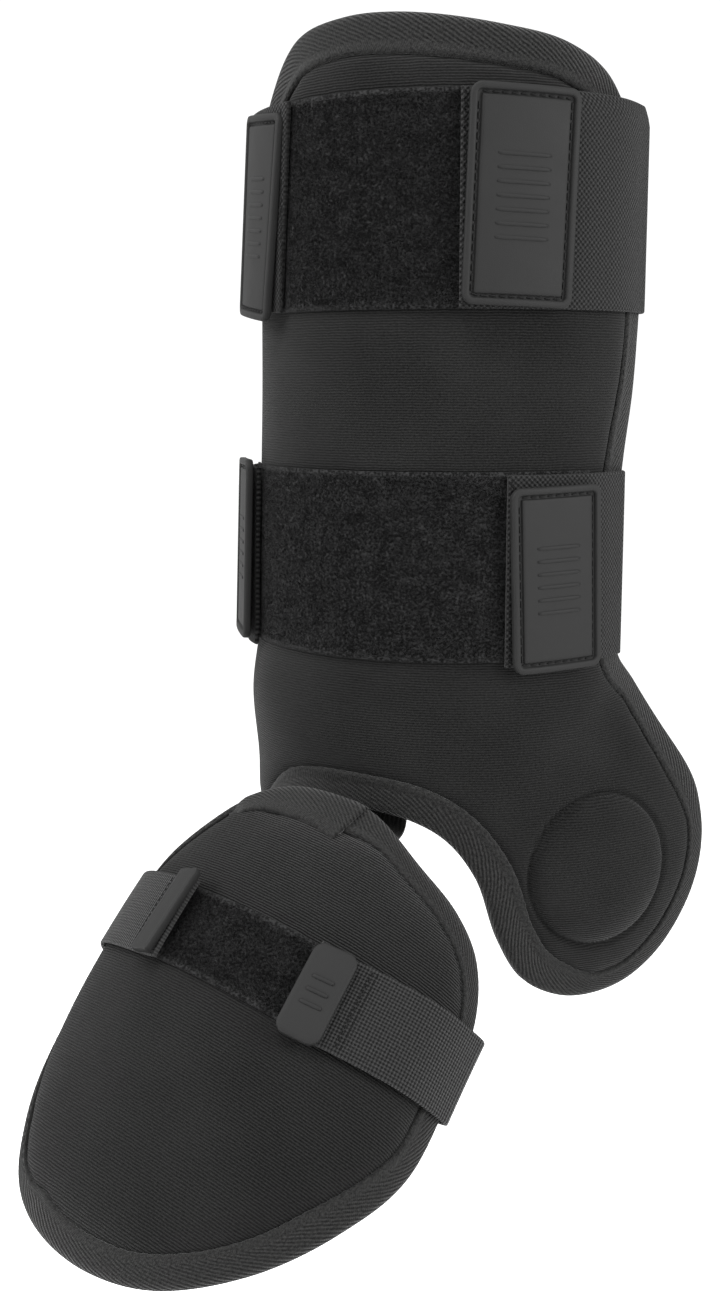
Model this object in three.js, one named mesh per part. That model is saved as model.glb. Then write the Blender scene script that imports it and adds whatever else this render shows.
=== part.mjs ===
import * as THREE from 'three';

// Lengths are millimetres and angles degrees. +Z runs up the shin, the front faces -Y and the
// ankle lobe is on +X. The origin is on the leg's axis, level with the ankle cushion.

// Padded sheets: lift is measured outward from the sheet's outer face at its edge
const EDGE_THICKNESS = 6;
const CROWN = 3;
const CROWN_START = 12;
const CROWN_END = 24;
const GRID_INSET = 13;

// Edge tape, folded over the edge of a sheet
const TAPE_GAP = 0.45;
const TAPE_THICKNESS = 1.2;
const TAPE_LAP = 12;
const TAPE_CORNER = 1.5;

// Layers on the front of a sheet, each a small gap above the one below
const LAYER_GAP = 0.3;
const TAB_GAP = 0.4;
const PATCH_LIFT = CROWN + 0.4;
const PATCH_THICKNESS = 1.1;
const STRAP_LIFT = PATCH_LIFT + PATCH_THICKNESS + LAYER_GAP;
const STRAP_EDGE_LIFT = 2.3;
const STRAP_EDGE_RUN = 28;
const STRAP_THICKNESS = 1.7;
const TAB_LIFT = STRAP_LIFT + STRAP_THICKNESS + TAB_GAP;
const TAB_THICKNESS = 2.8;

// Shin sheet: an arc round the front of the leg that stops curling and runs out as a flare
const SHIN_RADIUS = 72.5;
const FLARE_RADIUS = 350;
// Columns: height, angle from the front at which the curl ends
const CURL_END = [[25, 38], [120, 100], [150, 100], [215, 77]];
// Columns: height, swell of the inner side
const INNER_SWELL = [[32, 0.6], [60, 3.4], [92, -0.4], [190, -2]];
const INNER_SWELL_REACH = 80;
const SHIN_COLUMNS = 18;
const SHIN_ROWS = 26;
// The finished edge, tape and all. Columns: distance round the shin from the front, height.
// Each side starts at its corner.
const SHIN_SIDES = [
  [[-86, 270], [-65.5, 288], [-45, 303], [-22, 307], [0, 306.8], [35, 302.5], [61, 298], [81.5, 288.5]],
  [[98.5, 267], [106.5, 238], [108, 206], [104.5, 182], [96.5, 155], [90.5, 120], [94, 86], [107.5, 71],
    [117.5, 50], [126, 31], [130.5, 9], [126.5, -11], [112.5, -31.5]],
  [[96, -43], [80, -47], [65, -46], [49, -37], [38, -22], [29.5, 2], [18, 17.5], [3, 25], [-20, 27.5],
    [-42, 25.5], [-56, 16.5], [-70, 7], [-88, 1]],
  [[-103, 12], [-109, 40], [-110, 90], [-109, 150], [-107, 215], [-99, 248]],
];

// Foot sheet: an arch across the foot that turns down at its sides, bowed along its length and
// hung from the foot of the shin
const FOOT_ORIGIN = [-18.4, -82.1, 35];
const FOOT_PITCH = 45.8;
const FOOT_YAW = -19.9;
const FOOT_ROLL = 9.7;
const FOOT_ARCH_RADIUS = 98.8;
const FOOT_SIDE_START = 60;
const FOOT_SIDE_RADIUS = 45;
const FOOT_BOW_RADIUS = 373;
const FOOT_LENGTH = 184;
const FOOT_COLUMNS = 12;
const FOOT_ROWS = 12;
// The finished edge, tape and all. Columns: distance across from the middle, distance along
// (minus is toward the toe).
const FOOT_SIDES = [
  [[-52.5, -24], [-38.5, -12.5], [-20, -3], [0, -1], [15.5, -2.5], [41, -15.5]],
  [[60, -25], [75.5, -37.5], [86, -55.5], [90, -82], [87, -110.5]],
  [[70.5, -137.5], [49, -162], [22, -178], [-2, -182], [-27.5, -177.5], [-47.5, -166.5]],
  [[-60.5, -148.5], [-75, -116.5], [-81, -88], [-82.5, -64], [-72, -41.5]],
];

// Round cushion on the ankle lobe
const ANKLE_CENTRE = [78.5, 3];
// Columns: radius, lift of the cushion's top
const ANKLE_PROFILE = [[28.5, 4.2], [26, 6.2], [21, 7.4], [12, 8.2]];
const ANKLE_TOP = 8.4;
const ANKLE_BASE_LIFT = CROWN + 0.45;
const ANKLE_SIDES = 32;

// Straps round the leg: heights, ends on the front, where each leaves the sheet, and how far it
// runs on straight from there before it turns across the back
const UPPER_STRAP = {
  low: 208, high: 281, right: 19.5, left: -45,
  rightEdge: 106, leftEdge: -110, rightReach: 40, leftReach: 60,
};
const LOWER_STRAP = {
  low: 82.5, high: 151, right: 36, left: -73,
  rightEdge: 94.5, leftEdge: -112, rightReach: 40, leftReach: 60,
};
const UPPER_PATCH = { low: 208, high: 281, right: 60, left: -68 };
const LOWER_PATCH = { low: 84.5, high: 152, right: 70, left: -88 };
const STRAP_ROWS = 4;
const STRAP_FRONT_STEPS = 10;
const STRAP_BACK_STEPS = 16;
const PATCH_STEP = 11;

// Strap under the foot: its line climbs across the pad, then runs level to the outer side
const FOOT_STRAP = {
  middle: -71, climb: -0.11, level: 38, width: 32, right: 26, left: -24, edge: 91, reach: 26,
};
const FOOT_PATCH = { width: 29, right: 46, left: -50 };
const FOOT_STRAP_ROWS = 2;

// Pull tabs: place on the sheet, width along the strap, height, and turn as seen from outside
const UPPER_TAB_RIGHT = { at: [40.3, 245], width: 40, height: 73, turn: -2 };
const UPPER_TAB_LEFT = { at: [-66, 243], width: 40, height: 73, turn: -6 };
const LOWER_TAB_RIGHT = { at: [55, 114], width: 37, height: 66, turn: 2 };
const LOWER_TAB_LEFT = { at: [-88, 117.5], width: 37, height: 66, turn: 1 };
const FOOT_TAB_RIGHT = { at: [32.5, -76], width: 16, height: 33, turn: 0 };
const FOOT_TAB_LEFT = { at: [-30.5, -66.5], width: 16, height: 33, turn: 0 };
const TAB_CORNER = 4;
const TAB_CORNER_STEPS = 3;
const TAB_STRAIGHT_STEPS = 4;
// Share of the tab's own flatness against the bend of what it lies on
const TAB_STIFFNESS = 0.3;
const TAB_RIM = 2.6;
const TAB_RECESS = 0.9;
const TAB_BEVEL = 0.6;

// Webbing that hangs the foot sheet from the shin sheet
const HINGE_THICKNESS = 1.5;
const HINGE_GAP = 0.7;
const HINGE_LIFT = -EDGE_THICKNESS - TAPE_GAP - TAPE_THICKNESS - HINGE_GAP - HINGE_THICKNESS / 2;
const HINGE_FOOT_LEFT = -22;
const HINGE_FOOT_RIGHT = 25;
const HINGE_SHIN_LEFT = -40;
const HINGE_SHIN_RIGHT = 5;
const HINGE_FOOT_STATIONS = [-34, -25, -16];
const HINGE_SHIN_STATIONS = [19, 38, 58];
const HINGE_COLUMNS = 6;
const HINGE_ROWS = 12;

const FABRIC = { color: 0x17171a, roughness: 0.9 };
const TAPE = { color: 0x1b1b1e, roughness: 0.85 };
const LOOP_PILE = { color: 0x0f0f11, roughness: 1.0 };
const ELASTIC = { color: 0x1d1d20, roughness: 0.8 };
const RUBBER = { color: 0x26262a, roughness: 0.55 };

// Curve helpers

function smoothstep(value) {
  const t = Math.min(1, Math.max(0, value));
  return t * t * (3 - 2 * t);
}

function ramp(table, at) {
  let value = table[0][1];
  for (let i = 1; i < table.length; i += 1) {
    const [start, before] = table[i - 1];
    const [end, after] = table[i];
    value += (after - before) * smoothstep((at - start) / (end - start));
  }
  return value;
}

function mix(a, b, t) {
  return a + (b - a) * t;
}

function steps(from, to, count) {
  return Array.from({ length: count + 1 }, (_, i) => mix(from, to, i / count));
}

// Surfaces: a base point for pattern coordinates, then the same point lifted along the normal

function shinBase(s, z) {
  const curl = THREE.MathUtils.degToRad(ramp(CURL_END, z));
  const curlLength = SHIN_RADIUS * curl;
  const inCurl = s < curlLength;
  const angle = inCurl ? s / SHIN_RADIUS : curl + (s - curlLength) / FLARE_RADIUS;
  const swell = ramp(INNER_SWELL, z) * smoothstep(-s / INNER_SWELL_REACH);
  let x = SHIN_RADIUS * Math.sin(inCurl ? angle : curl);
  let y = -SHIN_RADIUS * Math.cos(inCurl ? angle : curl);
  if (!inCurl) {
    x += FLARE_RADIUS * (Math.sin(angle) - Math.sin(curl));
    y -= FLARE_RADIUS * (Math.cos(angle) - Math.cos(curl));
  }
  return new THREE.Vector3(x + swell * Math.sin(angle), y - swell * Math.cos(angle), z);
}

function footAxes() {
  const pitch = THREE.MathUtils.degToRad(FOOT_PITCH);
  const yaw = THREE.MathUtils.degToRad(FOOT_YAW);
  const roll = THREE.MathUtils.degToRad(FOOT_ROLL);
  const flat = Math.cos(pitch);
  const along = new THREE.Vector3(Math.sin(yaw) * flat, -Math.cos(yaw) * flat, -Math.sin(pitch));
  const level = new THREE.Vector3(Math.cos(yaw), Math.sin(yaw), 0);
  const across = level.applyAxisAngle(along, -roll);
  const outward = new THREE.Vector3().crossVectors(along, across);
  return { along, across, outward };
}

const FOOT_AXES = footAxes();

function footPlace(across, along, height) {
  return new THREE.Vector3(...FOOT_ORIGIN)
    .addScaledVector(FOOT_AXES.across, across)
    .addScaledVector(FOOT_AXES.along, along)
    .addScaledVector(FOOT_AXES.outward, height);
}

function footBow(along) {
  return along * (FOOT_LENGTH - along) / (2 * FOOT_BOW_RADIUS);
}

function footBase(a, v) {
  const onArch = THREE.MathUtils.clamp(a, -FOOT_SIDE_START, FOOT_SIDE_START);
  const lean = onArch / FOOT_ARCH_RADIUS;
  const angle = lean + (a - onArch) / FOOT_SIDE_RADIUS;
  const across = FOOT_ARCH_RADIUS * Math.sin(lean) + FOOT_SIDE_RADIUS * (Math.sin(angle) - Math.sin(lean));
  const sideDrop = FOOT_SIDE_RADIUS * (Math.cos(angle) - Math.cos(lean));
  const drop = FOOT_ARCH_RADIUS * (Math.cos(lean) - 1) + sideDrop;
  return footPlace(across, -v, drop + footBow(-v));
}

function normalAt(base, u, v) {
  const reach = 0.05;
  const alongU = base(u + reach, v).sub(base(u - reach, v));
  const alongV = base(u, v + reach).sub(base(u, v - reach));
  return alongU.cross(alongV).normalize();
}

function lifted(base) {
  return (u, v, lift) => base(u, v).addScaledVector(normalAt(base, u, v), lift);
}

const shin = lifted(shinBase);
const foot = lifted(footBase);

// Solids

function signedVolume(points, triangles) {
  let total = 0;
  for (const [a, b, c] of triangles) {
    total += points[a].dot(points[b].clone().cross(points[c]));
  }
  return total;
}

function solid(name, look, points, triangles) {
  const inward = signedVolume(points, triangles) < 0;
  const ordered = inward ? triangles.map(([a, b, c]) => [a, c, b]) : triangles;
  const geometry = new THREE.BufferGeometry().setFromPoints(points);
  geometry.setIndex(ordered.flat());
  geometry.computeVertexNormals();
  const mesh = new THREE.Mesh(geometry, new THREE.MeshStandardMaterial({ metalness: 0, ...look }));
  mesh.name = name;
  return mesh;
}

function quad(triangles, a, b, c, d) {
  triangles.push([a, b, c], [a, c, d]);
}

// Walls between equal loops of points, in order, and back to the first one if they run in a ring
function joinLoops(loops, isRing) {
  const size = loops[0].length;
  const spans = isRing ? loops.length : loops.length - 1;
  const triangles = [];
  for (let k = 0; k < spans; k += 1) {
    const here = k * size;
    const next = ((k + 1) % loops.length) * size;
    for (let i = 0; i < size; i += 1) {
      const j = (i + 1) % size;
      quad(triangles, here + i, here + j, next + j, next + i);
    }
  }
  return triangles;
}

// A body through loops that each run along one edge and back along the other, so that its two
// ends are closed by strips
function bandLoft(name, look, loops, rows) {
  const size = loops[0].length;
  const points = loops.flat();
  const triangles = joinLoops(loops, false);
  const last = (loops.length - 1) * size;
  for (let i = 0; i + 1 < rows; i += 1) {
    const facing = size - 1 - i;
    quad(triangles, i + 1, i, facing, facing - 1);
    quad(triangles, last + i, last + i + 1, last + facing - 1, last + facing);
  }
  return solid(name, look, points, triangles);
}

// A band with an outer and an inner face, from rows of matching points
function band(name, look, outerRows, innerRows) {
  const stations = outerRows[0].length;
  const loops = [];
  for (let k = 0; k < stations; k += 1) {
    const outer = outerRows.map((row) => row[k]);
    const inner = innerRows.map((row) => row[k]).reverse();
    loops.push([...outer, ...inner]);
  }
  return bandLoft(name, look, loops, outerRows.length);
}

// Outlines: a closed smooth curve through the sides' points, sampled side by side and drawn in
// by the tape to give the edge of the sheet itself

function sampleSides(sides, columns, rows) {
  const controls = sides.flat().map(([u, v]) => new THREE.Vector3(u, v, 0));
  const curve = new THREE.CatmullRomCurve3(controls, true, 'centripetal');
  const counts = [columns, rows, columns, rows];
  const fine = 24;
  const samples = [];
  let first = 0;
  sides.forEach((side, k) => {
    const trail = steps(first, first + side.length, side.length * fine)
      .map((at) => curve.getPoint((at / controls.length) % 1));
    samples.push(...evenly(trail, counts[k]));
    first += side.length;
  });
  return insetOutline(samples, TAPE_GAP + TAPE_THICKNESS);
}

// The first count of count + 1 points spaced evenly along a trail of points
function evenly(trail, count) {
  const reached = [0];
  for (let i = 1; i < trail.length; i += 1) {
    reached.push(reached[i - 1] + trail[i].distanceTo(trail[i - 1]));
  }
  const total = reached[reached.length - 1];
  const picked = [];
  let at = 0;
  for (let k = 0; k < count; k += 1) {
    const goal = total * k / count;
    while (reached[at + 1] < goal) {
      at += 1;
    }
    const part = (goal - reached[at]) / (reached[at + 1] - reached[at]);
    picked.push(trail[at].clone().lerp(trail[at + 1], part));
  }
  return picked;
}

// The outline moved inward in the pattern by an inset
function insetOutline(outline, inset) {
  return outline.map((point, i) => {
    const before = outline[(i + outline.length - 1) % outline.length];
    const after = outline[(i + 1) % outline.length];
    const along = after.clone().sub(before).normalize();
    return new THREE.Vector3(point.x + inset * along.y, point.y - inset * along.x, 0);
  });
}

// Fills a ring of points with a grid, by blending its four sides
function fillGrid(ring, columns, rows) {
  const top = (i) => ring[i];
  const right = (j) => ring[columns + j];
  const bottom = (i) => ring[2 * columns + rows - i];
  const left = (j) => ring[(2 * (columns + rows) - j) % ring.length];
  const grid = [];
  for (let j = 0; j <= rows; j += 1) {
    const v = j / rows;
    grid.push(steps(0, 1, columns).map((u, i) => new THREE.Vector3()
      .addScaledVector(top(i), 1 - v)
      .addScaledVector(bottom(i), v)
      .addScaledVector(left(j), 1 - u)
      .addScaledVector(right(j), u)
      .addScaledVector(top(0), -(1 - u) * (1 - v))
      .addScaledVector(top(columns), -u * (1 - v))
      .addScaledVector(bottom(0), -(1 - u) * v)
      .addScaledVector(bottom(columns), -u * v)));
  }
  return grid;
}

function distanceToOutline(outline, point) {
  return Math.min(...outline.map((here, i) => {
    const span = new THREE.Line3(here, outline[(i + 1) % outline.length]);
    return span.closestPointToPoint(point, true, new THREE.Vector3()).distanceTo(point);
  }));
}

// A padded sheet: flat at its edge under the tape, crowned inside it
function paddedSheet(name, surface, sides, columns, rows) {
  const outline = sampleSides(sides, columns, rows);
  const grid = fillGrid(insetOutline(outline, GRID_INSET), columns, rows);
  const points = [];
  const triangles = [];
  const edgeCount = outline.length;
  const faceCount = edgeCount + (columns + 1) * (rows + 1);
  const edgeIndex = (face, k) => face * faceCount + k % edgeCount;
  const gridIndex = (face, i, j) => face * faceCount + edgeCount + j * (columns + 1) + i;
  const ringIndex = (face, k) => {
    const at = k % edgeCount;
    if (at < columns) {
      return gridIndex(face, at, 0);
    }
    if (at < columns + rows) {
      return gridIndex(face, columns, at - columns);
    }
    if (at < 2 * columns + rows) {
      return gridIndex(face, 2 * columns + rows - at, rows);
    }
    return gridIndex(face, 0, edgeCount - at);
  };
  for (const face of [0, 1]) {
    points.push(...outline.map((at) => surface(at.x, at.y, face ? -EDGE_THICKNESS : 0)));
    for (const row of grid) {
      for (const at of row) {
        const inset = distanceToOutline(outline, at);
        const crown = CROWN * smoothstep((inset - CROWN_START) / (CROWN_END - CROWN_START));
        points.push(surface(at.x, at.y, face ? -EDGE_THICKNESS : crown));
      }
    }
  }
  for (const face of [0, 1]) {
    const corners = [];
    for (let k = 0; k < edgeCount; k += 1) {
      const next = k + 1;
      corners.push([edgeIndex(face, k), ringIndex(face, k), ringIndex(face, next), edgeIndex(face, next)]);
    }
    for (let j = 0; j < rows; j += 1) {
      for (let i = 0; i < columns; i += 1) {
        const cell = [[i, j], [i, j + 1], [i + 1, j + 1], [i + 1, j]];
        corners.push(cell.map(([column, row]) => gridIndex(face, column, row)));
      }
    }
    corners.forEach((loop) => quad(triangles, ...(face ? loop.reverse() : loop)));
  }
  for (let k = 0; k < edgeCount; k += 1) {
    quad(triangles, edgeIndex(0, k), edgeIndex(0, k + 1), edgeIndex(1, k + 1), edgeIndex(1, k));
  }
  return solid(name, FABRIC, points, triangles);
}

// Tape folded over the edge: a channel section carried round the outline
function edgeTape(name, surface, sides, columns, rows) {
  const outline = sampleSides(sides, columns, rows);
  const inside = TAPE_GAP;
  const outside = TAPE_GAP + TAPE_THICKNESS;
  const back = -EDGE_THICKNESS;
  // Columns: inset from the edge, lift
  const section = [
    [TAPE_LAP, outside],
    [TAPE_CORNER - outside, outside],
    [-outside, outside - TAPE_CORNER],
    [-outside, back - outside + TAPE_CORNER],
    [TAPE_CORNER - outside, back - outside],
    [TAPE_LAP, back - outside],
    [TAPE_LAP, back - inside],
    [-inside, back - inside],
    [-inside, inside],
    [TAPE_LAP, inside],
  ];
  const tracks = section.map(([inset, lift]) => insetOutline(outline, inset)
    .map((at) => surface(at.x, at.y, lift)));
  const loops = outline.map((_, k) => tracks.map((track) => track[k]));
  return solid(name, TAPE, loops.flat(), joinLoops(loops, true));
}

// A thin patch that follows a surface between two sets of pattern lines
function patch(name, look, surface, columns, rows, place) {
  const face = (lift) => steps(0, 1, rows).map((v) => steps(0, 1, columns).map((u) => {
    const at = place(u, v);
    return surface(at[0], at[1], lift);
  }));
  return band(name, look, face(PATCH_LIFT + PATCH_THICKNESS), face(PATCH_LIFT));
}

function shinPatch(name, field) {
  const columns = Math.ceil((field.right - field.left) / PATCH_STEP);
  const place = (u, v) => [mix(field.left, field.right, u), mix(field.high, field.low, v)];
  return patch(name, LOOP_PILE, shin, columns, STRAP_ROWS, place);
}

function footStrapLine(across) {
  return FOOT_STRAP.middle + FOOT_STRAP.climb * Math.min(across, FOOT_STRAP.level);
}

function footPatch() {
  const columns = Math.ceil((FOOT_PATCH.right - FOOT_PATCH.left) / PATCH_STEP);
  const place = (u, v) => {
    const across = mix(FOOT_PATCH.left, FOOT_PATCH.right, u);
    return [across, footStrapLine(across) + FOOT_PATCH.width * (0.5 - v)];
  };
  return patch('foot_loop_patch', LOOP_PILE, foot, columns, FOOT_STRAP_ROWS, place);
}

// Straps

// Lift of a strap that comes down from the loop patch to the edge of the sheet
function strapLift(toEdge) {
  return mix(STRAP_EDGE_LIFT, STRAP_LIFT, smoothstep(toEdge / STRAP_EDGE_RUN));
}

// The free run of a strap from one edge to the other, leaving along the trails' last steps
function freeRun(right, left, rightReach, leftReach) {
  const start = right[right.length - 1];
  const end = left[0];
  const leave = start.clone().sub(right[right.length - 2]).setLength(rightReach).add(start);
  const arrive = end.clone().sub(left[1]).setLength(leftReach).add(end);
  const curve = new THREE.CubicBezierCurve3(start, leave, arrive, end);
  return curve.getSpacedPoints(STRAP_BACK_STEPS).slice(1, -1);
}

// The outer face of a strap: its path moved sideways, away from what it goes round
function outerFace(path, axis) {
  return path.map((point, i) => {
    const before = path[Math.max(0, i - 1)];
    const after = path[Math.min(path.length - 1, i + 1)];
    const side = after.clone().sub(before).cross(axis).setLength(STRAP_THICKNESS);
    return point.clone().add(side);
  });
}

function legStrap(name, strap) {
  const inner = steps(strap.high, strap.low, STRAP_ROWS).map((z) => {
    const right = steps(strap.right, strap.rightEdge, STRAP_FRONT_STEPS)
      .map((s) => shin(s, z, strapLift(strap.rightEdge - s)));
    const left = steps(strap.leftEdge, strap.left, STRAP_FRONT_STEPS)
      .map((s) => shin(s, z, strapLift(s - strap.leftEdge)));
    const flat = (trail) => trail.map((point) => point.setZ(z));
    const free = freeRun(flat(right), flat(left), strap.rightReach, strap.leftReach);
    return [...right, ...free, ...left];
  });
  const outer = inner.map((row) => outerFace(row, new THREE.Vector3(0, 0, 1)));
  return band(name, ELASTIC, outer, inner);
}

function footStrap() {
  const inner = steps(0.5, -0.5, FOOT_STRAP_ROWS).map((part) => {
    const offset = FOOT_STRAP.width * part;
    const on = (a) => foot(a, footStrapLine(a) + offset, strapLift(FOOT_STRAP.edge - Math.abs(a)));
    const right = steps(FOOT_STRAP.right, FOOT_STRAP.edge, STRAP_FRONT_STEPS).map(on);
    const left = steps(-FOOT_STRAP.edge, FOOT_STRAP.left, STRAP_FRONT_STEPS).map(on);
    const free = freeRun(right, left, FOOT_STRAP.reach, FOOT_STRAP.reach);
    return [...right, ...free, ...left];
  });
  const axis = FOOT_AXES.along.clone().negate();
  const outer = inner.map((row) => outerFace(row, axis));
  return band('foot_strap', ELASTIC, outer, inner);
}

// Pull tabs

// Points round a rectangle, along its top from left to right and back along its bottom
function roundedRectangle(width, height, corner) {
  const straight = width / 2 - corner;
  const side = height / 2 - corner;
  const turns = steps(0, Math.PI / 2, TAB_CORNER_STEPS);
  const rightCorner = turns.map((turn) => [
    straight + corner * Math.sin(turn),
    side + corner * Math.cos(turn),
  ]);
  const leftCorner = rightCorner.map(([x, y]) => [-x, y]).reverse();
  const between = steps(-straight, straight, TAB_STRAIGHT_STEPS).slice(1, -1);
  const middle = between.map((x) => [x, height / 2]);
  const top = [...leftCorner, ...middle, ...rightCorner];
  const bottom = top.map(([x, y]) => [x, -y]).reverse();
  return [...top, ...bottom];
}

// Columns: inset from the tab's outline, height
const RIMMED_SECTION = [
  [0, 0], [0, TAB_THICKNESS - TAB_BEVEL], [TAB_BEVEL, TAB_THICKNESS],
  [TAB_RIM - TAB_BEVEL, TAB_THICKNESS], [TAB_RIM, TAB_THICKNESS - TAB_RECESS],
];
const PLAIN_SECTION = [[0, 0], [0, TAB_THICKNESS - TAB_BEVEL], [TAB_BEVEL, TAB_THICKNESS]];

function pullTab(name, base, radius, tab, section) {
  const surface = lifted(base);
  const [u, v] = tab.at;
  const outward = normalAt(base, u, v);
  const up = base(u, v + 1).sub(base(u, v - 1)).normalize();
  const sideways = new THREE.Vector3().crossVectors(up, outward);
  const turn = THREE.MathUtils.degToRad(tab.turn);
  const shrink = radius / (radius + TAB_LIFT + TAB_THICKNESS);
  const loops = section.map(([inset, height]) => {
    const outline = roundedRectangle(tab.width - 2 * inset, tab.height - 2 * inset, TAB_CORNER - inset);
    const lift = TAB_LIFT + height;
    return outline.map((corner) => {
      const { x, y } = new THREE.Vector2(...corner).rotateAround(new THREE.Vector2(), turn);
      const flat = surface(u, v, lift).addScaledVector(sideways, x).addScaledVector(up, y);
      return surface(u + x * shrink, v + y, lift).lerp(flat, TAB_STIFFNESS);
    });
  });
  return bandLoft(name, RUBBER, loops, loops[0].length / 2);
}

// Round cushion on the ankle lobe

function anklePad() {
  const [s, z] = ANKLE_CENTRE;
  const circle = (radius, lift) => steps(0, 360, ANKLE_SIDES).slice(0, -1).map((turn) => {
    const angle = THREE.MathUtils.degToRad(turn);
    return shin(s + radius * Math.cos(angle), z + radius * Math.sin(angle), lift);
  });
  const base = ANKLE_PROFILE.map(([radius]) => circle(radius, ANKLE_BASE_LIFT)).reverse();
  const top = ANKLE_PROFILE.map(([radius, lift]) => circle(radius, lift));
  const loops = [...base, ...top];
  const points = [...loops.flat(), shin(s, z, ANKLE_BASE_LIFT), shin(s, z, ANKLE_TOP)];
  const triangles = joinLoops(loops, false);
  const last = (loops.length - 1) * ANKLE_SIDES;
  for (let i = 0; i < ANKLE_SIDES; i += 1) {
    const j = (i + 1) % ANKLE_SIDES;
    triangles.push([points.length - 2, j, i], [points.length - 1, last + i, last + j]);
  }
  return solid('ankle_pad', FABRIC, points, triangles);
}

// Hinge webbing

function hingeWebbing() {
  const columns = steps(0, 1, HINGE_COLUMNS).map((u) => {
    const a = mix(HINGE_FOOT_LEFT, HINGE_FOOT_RIGHT, u);
    const s = mix(HINGE_SHIN_LEFT, HINGE_SHIN_RIGHT, u);
    const stations = [
      ...HINGE_FOOT_STATIONS.map((v) => foot(a, v, HINGE_LIFT)),
      ...HINGE_SHIN_STATIONS.map((z) => shin(s, z, HINGE_LIFT)),
    ];
    return new THREE.CatmullRomCurve3(stations, false, 'centripetal').getSpacedPoints(HINGE_ROWS);
  });
  const clampedAt = (i, j) => {
    const column = columns[THREE.MathUtils.clamp(i, 0, HINGE_COLUMNS)];
    return column[THREE.MathUtils.clamp(j, 0, HINGE_ROWS)];
  };
  const face = (side) => columns.map((column, i) => column.map((point, j) => {
    const across = clampedAt(i + 1, j).clone().sub(clampedAt(i - 1, j));
    const along = clampedAt(i, j + 1).clone().sub(clampedAt(i, j - 1));
    return point.clone().add(across.cross(along).setLength(side * HINGE_THICKNESS / 2));
  }));
  return band('hinge_webbing', ELASTIC, face(1), face(-1));
}

const guard = new THREE.Group();
guard.name = 'leg_guard';
guard.add(
  paddedSheet('shin_pad', shin, SHIN_SIDES, SHIN_COLUMNS, SHIN_ROWS),
  edgeTape('shin_binding', shin, SHIN_SIDES, SHIN_COLUMNS, SHIN_ROWS),
  anklePad(),
  shinPatch('upper_loop_patch', UPPER_PATCH),
  shinPatch('lower_loop_patch', LOWER_PATCH),
  legStrap('upper_strap', UPPER_STRAP),
  legStrap('lower_strap', LOWER_STRAP),
  pullTab('upper_tab_right', shinBase, SHIN_RADIUS, UPPER_TAB_RIGHT, RIMMED_SECTION),
  pullTab('upper_tab_left', shinBase, SHIN_RADIUS, UPPER_TAB_LEFT, RIMMED_SECTION),
  pullTab('lower_tab_right', shinBase, SHIN_RADIUS, LOWER_TAB_RIGHT, RIMMED_SECTION),
  pullTab('lower_tab_left', shinBase, SHIN_RADIUS, LOWER_TAB_LEFT, RIMMED_SECTION),
  hingeWebbing(),
  paddedSheet('foot_pad', foot, FOOT_SIDES, FOOT_COLUMNS, FOOT_ROWS),
  edgeTape('foot_binding', foot, FOOT_SIDES, FOOT_COLUMNS, FOOT_ROWS),
  footPatch(),
  footStrap(),
  pullTab('foot_tab_right', footBase, FOOT_ARCH_RADIUS, FOOT_TAB_RIGHT, PLAIN_SECTION),
  pullTab('foot_tab_left', footBase, FOOT_ARCH_RADIUS, FOOT_TAB_LEFT, PLAIN_SECTION),
);

export default guard;
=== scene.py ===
"""Looks of a leg guard: padded knit sheets, taped edges, elastic straps and moulded pull tabs."""

import math

import bpy
import numpy as np
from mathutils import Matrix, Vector


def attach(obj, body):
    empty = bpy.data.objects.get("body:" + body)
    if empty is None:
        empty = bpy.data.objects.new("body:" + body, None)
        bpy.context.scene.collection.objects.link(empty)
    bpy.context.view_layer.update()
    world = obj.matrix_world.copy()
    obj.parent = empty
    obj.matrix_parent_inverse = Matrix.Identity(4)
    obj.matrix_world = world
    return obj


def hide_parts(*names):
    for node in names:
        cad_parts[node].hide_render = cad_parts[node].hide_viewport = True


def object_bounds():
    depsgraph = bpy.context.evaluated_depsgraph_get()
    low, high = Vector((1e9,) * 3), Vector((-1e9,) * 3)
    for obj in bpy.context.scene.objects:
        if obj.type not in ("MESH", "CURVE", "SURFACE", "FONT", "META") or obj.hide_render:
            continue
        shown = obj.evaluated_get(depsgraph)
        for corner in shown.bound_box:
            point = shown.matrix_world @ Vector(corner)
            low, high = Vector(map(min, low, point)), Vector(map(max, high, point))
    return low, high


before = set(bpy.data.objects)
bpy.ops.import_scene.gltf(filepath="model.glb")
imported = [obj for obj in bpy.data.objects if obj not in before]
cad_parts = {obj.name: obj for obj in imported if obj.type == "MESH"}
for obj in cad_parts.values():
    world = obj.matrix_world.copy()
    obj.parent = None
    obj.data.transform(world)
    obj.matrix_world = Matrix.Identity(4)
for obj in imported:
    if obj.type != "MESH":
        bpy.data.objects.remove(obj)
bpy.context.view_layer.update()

# Lengths are millimetres and angles degrees until a mesh is made. +Z runs up the shin, the front
# faces -Y and the ankle lobe is on +X, as in the frame.
MM = 0.001
UV_NAME = "weave"

# Padded sheets: lift is measured outward from the sheet's outer face at its edge
EDGE_THICKNESS = 6
CROWN = 3
CROWN_RUN = 4.0
CROWN_EARLY = 1.2
SEAM_DEPTH = 0.35
SEAM_WIDTH = 1.0
SEAM_OUT = 0.5
SHEET_RINGS = [0, 3, 7, 10.5, 11.5, 12, 12.4, 12.8, 13.3, 13.9, 14.6, 15.4, 16.2]
BACK_RING_STEP = 4
SMOOTH_REACH = 4
PUCKER_PITCH = 7.5
PUCKER_DEPTH = 0.16
PUCKER_REACH = 4.2
PUCKER_SEED = 11
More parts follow.
